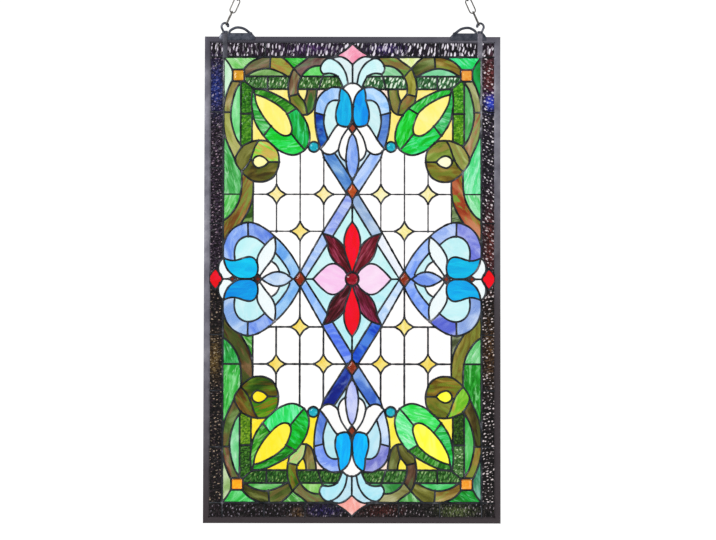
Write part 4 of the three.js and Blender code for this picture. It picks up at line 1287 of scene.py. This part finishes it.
for where, sx in (("left", -1), ("right", 1)):
    makePiece("hanger_iron_" + where, mirrored(hangerShape(), sx), forgedIron, "zinc_channel",
              ["hanger_" + where], sharp=hanger["sharp"])
    makePiece("hanger_strap_" + where, mirrored(strapShape(), sx), tinnedSteel, "zinc_channel",
              sharp=hanger["sharp"])
print("hangers")

chain = {
    "length": 28.2, "width": 12.5, "wire": 2.2, "slack": 0.4, "links": 3,
    "lean": 24.4,             # degrees from upright
    "hookWire": 3.0, "hookBend": 6.0,
}


# A link: two half circles joined by straight sides, with the butt weld's swelling on one side.
def linkShape(edgeOn):
    c = chain
    bend = (c["width"] - c["wire"]) / 2
    reach = c["length"] / 2 - c["wire"] / 2 - bend
    top, bottom = arcPath((0, reach), bend, 0, 180, 17), arcPath((0, -reach), bend, 180, 360, 17)
    outline = evenly(np.concatenate([top, bottom, top[:1]]), 1.1)[:-1]
    weld = np.exp(-((outline[:, 0] + bend) ** 2 + outline[:, 1] ** 2) / 1.6)
    points, faces = sweep(inPlane(outline), roundSection(c["wire"], 10), (0, 1, 0), closed=True,
                          size=1 + 0.16 * weld)
    return outward((points[:, [1, 0, 2]] * (-1, 1, 1) if edgeOn else points, faces))


# An S: a closed eye below and an open bend above.
def hookShape():
    bend, wire = chain["hookBend"], chain["hookWire"]
    line = np.concatenate([arcPath((0, 0), bend, 58, -265, 40), arcPath((0, 2 * bend), bend, -85, 205, 36)])
    path = inPlane(evenly(line, 0.8))
    return sweep(path, roundSection(wire, 12), (0, 1, 0), size=roundedEnds(path, wire / 2))


# Turned in the x, z plane by the chain's lean, to x cos - z sin and x sin + z cos, and set at its place.
def leaned(shape, place):
    turn = math.radians(chain["lean"])
    cos, sin = math.cos(turn), math.sin(turn)
    x, y, z = shape[0].T
    return np.stack([x * cos - z * sin, y, x * sin + z * cos], -1) + (place[0], 0, place[1]), shape[1]


# The links, each a pitch on from the last along the lean, and the hook in the last of them.
def hangChain():
    c = chain
    turn = math.radians(c["lean"])
    run = np.array([-math.sin(turn), math.cos(turn)])
    top = np.array(hanger["scroll"]) + run * hanger["scrollBend"]
    pitch = c["length"] - 2 * c["wire"] - c["slack"]
    first = top + run * (c["length"] / 2 - c["wire"] - hanger["linkSeat"] / 2 - c["slack"])
    links = [leaned(linkShape(i % 2 == 0), first + run * pitch * i) for i in range(c["links"])]
    last = first + run * pitch * (c["links"] - 1)
    eye = last + run * (c["length"] / 2 - c["wire"] - c["hookWire"] / 2 - c["slack"] + c["hookBend"])
    return links, leaned(hookShape(), eye)


links, hook = hangChain()
for where, sx in (("left", -1), ("right", 1)):
    for i, link in enumerate(links, 1):
        makePiece(f"link_{where}_{i}", mirrored(link, sx), chainSteel, "chain_steel",
                  [f"chain_link_{where}_{i}"])
    makePiece("s_hook_" + where, mirrored(hook, sx), chainSteel, "chain_steel", ["hanging_hook_" + where])
print("chain and hooks")

# The girdle's outline and, for each jewel, its place, tint and name.
jewels = {
    "centre": {"radius": 10.0, "sides": 12, "slot": "red_glass", "places": [((0, 0), "9c0424", "centre")]},
    "round": {"radius": 7.6, "sides": 12, "slot": "teal_glass",
              "places": [((-66.2, 227), "18b0c4", "round_top_left"),
                         ((-66.2, -227), "18b0c4", "round_bottom_left"),
                         ((66.2, 227), "18b0c4", "round_top_right"),
                         ((66.2, -227), "18b0c4", "round_bottom_right")]},
    "square": {"corners": [(-8.4, -8.4), (8.4, -8.4), (8.4, 8.4), (-8.4, 8.4)], "round": 1.6,
               "slot": "amber_glass",
               "places": [((-196, 350), "dca42c", "square_top_left"),
                          ((196, 350), "eca444", "square_top_right"),
                          ((-196, -350), "ffb41c", "square_bottom_left"),
                          ((196, -350), "f4a838", "square_bottom_right")]},
    "diamond": {"corners": [(0, -12.8), (9, 0), (0, 12.8), (-9, 0)], "round": 1.4, "slot": "brown_glass",
                "places": [((0, 151), "b4501c", "diamond_top"), ((0, -151), "8c3010", "diamond_bottom"),
                           ((-89.5, 0), "8c3010", "diamond_left"), ((89.5, 0), "8c3010", "diamond_right")]},
}
# Of every jewel, where each ring stands before or behind the middle, and its size against the girdle.
cut = {"foot": 1.45, "footScale": 0.9, "footRise": 0.4, "girdle": -2.6, "crown": -3.8, "crownScale": 0.8,
       "table": -4.5, "tableScale": 0.48}


# Triangles between two rings of count points, of which the upper one is turned by half a step, back or on.
def facetBand(count, low, high, back=0):
    i = np.arange(count)
    a, b = low + (i - back) % count, low + (i - back + 1) % count
    c, d = high + i, high + (i + 1) % count
    return np.concatenate([np.stack([a, b, c, c], -1), np.stack([c, b, d, d], -1)])


# A pressed jewel: girdle, crown facets turned by half a step from ring to ring, and a flat table.
def jewelShape(outline):
    count = len(outline)
    half = (outline + np.roll(outline, -1, 0)) / 2
    levels = [(outline * cut["footScale"], cut["foot"]), (outline, cut["foot"] - cut["footRise"]),
              (outline, cut["girdle"]), (half * cut["crownScale"], cut["crown"]),
              (outline * cut["tableScale"], cut["table"])]
    points = np.concatenate([inPlane(ring, y) for ring, y in levels])
    faces = [gridFaces(3, count), facetBand(count, 2 * count, 3 * count),
             facetBand(count, 3 * count, 4 * count, 1),
             flipFaces(fanFaces(count)), fanFaces(count) + 4 * count]
    return outward((points, np.concatenate(faces)))


# The tint at each point of a jewel: t^1.6 at the girdle, painted light and shade on the crown's facets by
# turns, t^0.5 and t^1.2, and t itself on the table.
def facetTint(tint, count):
    byTurns = np.where(np.arange(count) % 2, 0.5, 1.2)
    power = np.concatenate([np.full(3 * count, 1.6), byTurns, np.ones(count)])
    return np.concatenate([linear(tint) ** power[:, None], np.ones((5 * count, 1))], -1)


# A jewel's outline: a circle of flat sides, or corners rounded.
def girdleOf(jewel):
    if "radius" in jewel:
        return arcPath((0, 0), jewel["radius"], count=jewel["sides"] + 1)[:-1]
    return roundedOutline(jewel["corners"], jewel["round"], 3)


# Pressed glass, polished by the flame: clear, strong colour, deeper where a facet turns away. The tint is
# raised to a power that eases from 0.75 to 2.2 with the turn away and a cloud of 5 mm.
def jewelFinish():
    finish, tree = newFinish("pressed_jewel_glass")
    tint = addNode(tree, "Attribute", attribute_name="tint")
    facing = addNode(tree, "LayerWeight", Blend=0.35)
    place = addNode(tree, "TexCoord").outputs["Object"]
    cloud = addNode(tree, "TexNoise", Vector=place, Scale=1 / (5 * mm), Detail=2.0)
    both = addNode(tree, "Math", facing.outputs["Facing"], cloud, operation="ADD")
    power = addNode(tree, "MapRange", both, 0.35, 1.3, 0.75, 2.2, interpolation_type="SMOOTHSTEP")
    deep = addNode(tree, "Gamma", Color=tint, Gamma=power)
    surface = addNode(tree, "BsdfPrincipled", Base_Color=deep, Transmission_Weight=1.0, Roughness=0.06,
                      IOR=1.52)
    addNode(tree, "OutputMaterial", Surface=surface)
    return finish


jewelGlass = jewelFinish()
for jewel in jewels.values():
    points, faces = jewelShape(girdleOf(jewel))
    for (x, z), tint, name in jewel["places"]:
        makePiece("gem_" + name, (points + (x, 0, z), faces), jewelGlass, jewel["slot"], ["jewel_" + name],
                  smooth=False, tint=facetTint(tint, len(points) // 5))
print("jewels")

studio = {
    "floorDrop": 0.67,        # metres from the lowest point to the floor
    "floorRadius": 3.0,
    "floorSides": 96,
    "white": 1.1,             # the white all round, as the camera sees it and straight through the glass
    "aslant": 0.8,            # the same, where the glass bends the view aside
    "straight": (0.7, 0.97),  # from aslant to straight on, as the share of a ray's way that is along Y
    "below": 0.12,            # as it lights the metal, from below and from above
    "above": 0.42,
    "lamps": {                # place, size in metres and watts
        "key": ((-1.6, -2.2, 0.6), 1.2, 22),
        "fill": ((1.8, -1.8, -0.9), 1.4, 9),
    },
}


# A white room: the camera sees white, a ray through glass sees a smooth step of its Y, and the others see
# a smooth step of their Z.
def setRoom():
    room = bpy.data.worlds.new("white_room")
    bpy.context.scene.world = room
    room.use_nodes = True
    tree = room.node_tree
    tree.nodes.clear()
    ray = addNode(tree, "LightPath")
    heading = addNode(tree, "TexCoord").outputs["Generated"]
    axes = addNode(tree, "SeparateXYZ", Vector=heading)
    behind = addNode(tree, "MapRange", axes.outputs["Y"], *studio["straight"], studio["aslant"],
                     studio["white"], interpolation_type="SMOOTHSTEP")
    around = addNode(tree, "MapRange", axes.outputs["Z"], -1.0, 1.0, studio["below"], studio["above"],
                     interpolation_type="SMOOTHSTEP")
    through = addNode(tree, "Mix", Factor=ray.outputs["Is Transmission Ray"], A=around, B=behind)
    seen = addNode(tree, "Mix", Factor=ray.outputs["Is Camera Ray"], A=through, B=studio["white"])
    light = addNode(tree, "Background", Color=(1, 1, 1, 1), Strength=seen)
    addNode(tree, "OutputWorld", Surface=light)


# Lamps turned to the panel's middle.
def setLamps():
    for name, (place, size, power) in studio["lamps"].items():
        data = bpy.data.lights.new(name, "AREA")
        data.size = size
        data.energy = power
        lamp = bpy.data.objects.new(name, data)
        lamp.location = place
        aim = Vector((0, 0, panelMiddle)) - Vector(place)
        lamp.rotation_euler = aim.to_track_quat("-Z", "Y").to_euler()
        bpy.context.scene.collection.objects.link(lamp)


# A disc below the lowest point, in metres: radius (cos, sin).
def setFloor():
    sides = studio["floorSides"]
    disc = inPlane(arcPath((0, 0), studio["floorRadius"], count=sides + 1)[:-1])[:, [0, 2, 1]]
    disc[:, 2] = cadLow.z - studio["floorDrop"]
    mesh = bpy.data.meshes.new("floor")
    mesh.from_pydata(disc.tolist(), [], [list(range(sides))])
    finish, tree = newFinish("pale_floor")
    surface = addNode(tree, "BsdfPrincipled", Base_Color=rgba("f2f1ee"), Roughness=0.9)
    addNode(tree, "OutputMaterial", Surface=surface)
    mesh.materials.append(finish)
    floor = bpy.data.objects.new("floor", mesh)
    bpy.context.scene.collection.objects.link(floor)


setRoom()
setLamps()
setFloor()
print("room, lamps and floor")

print("done")
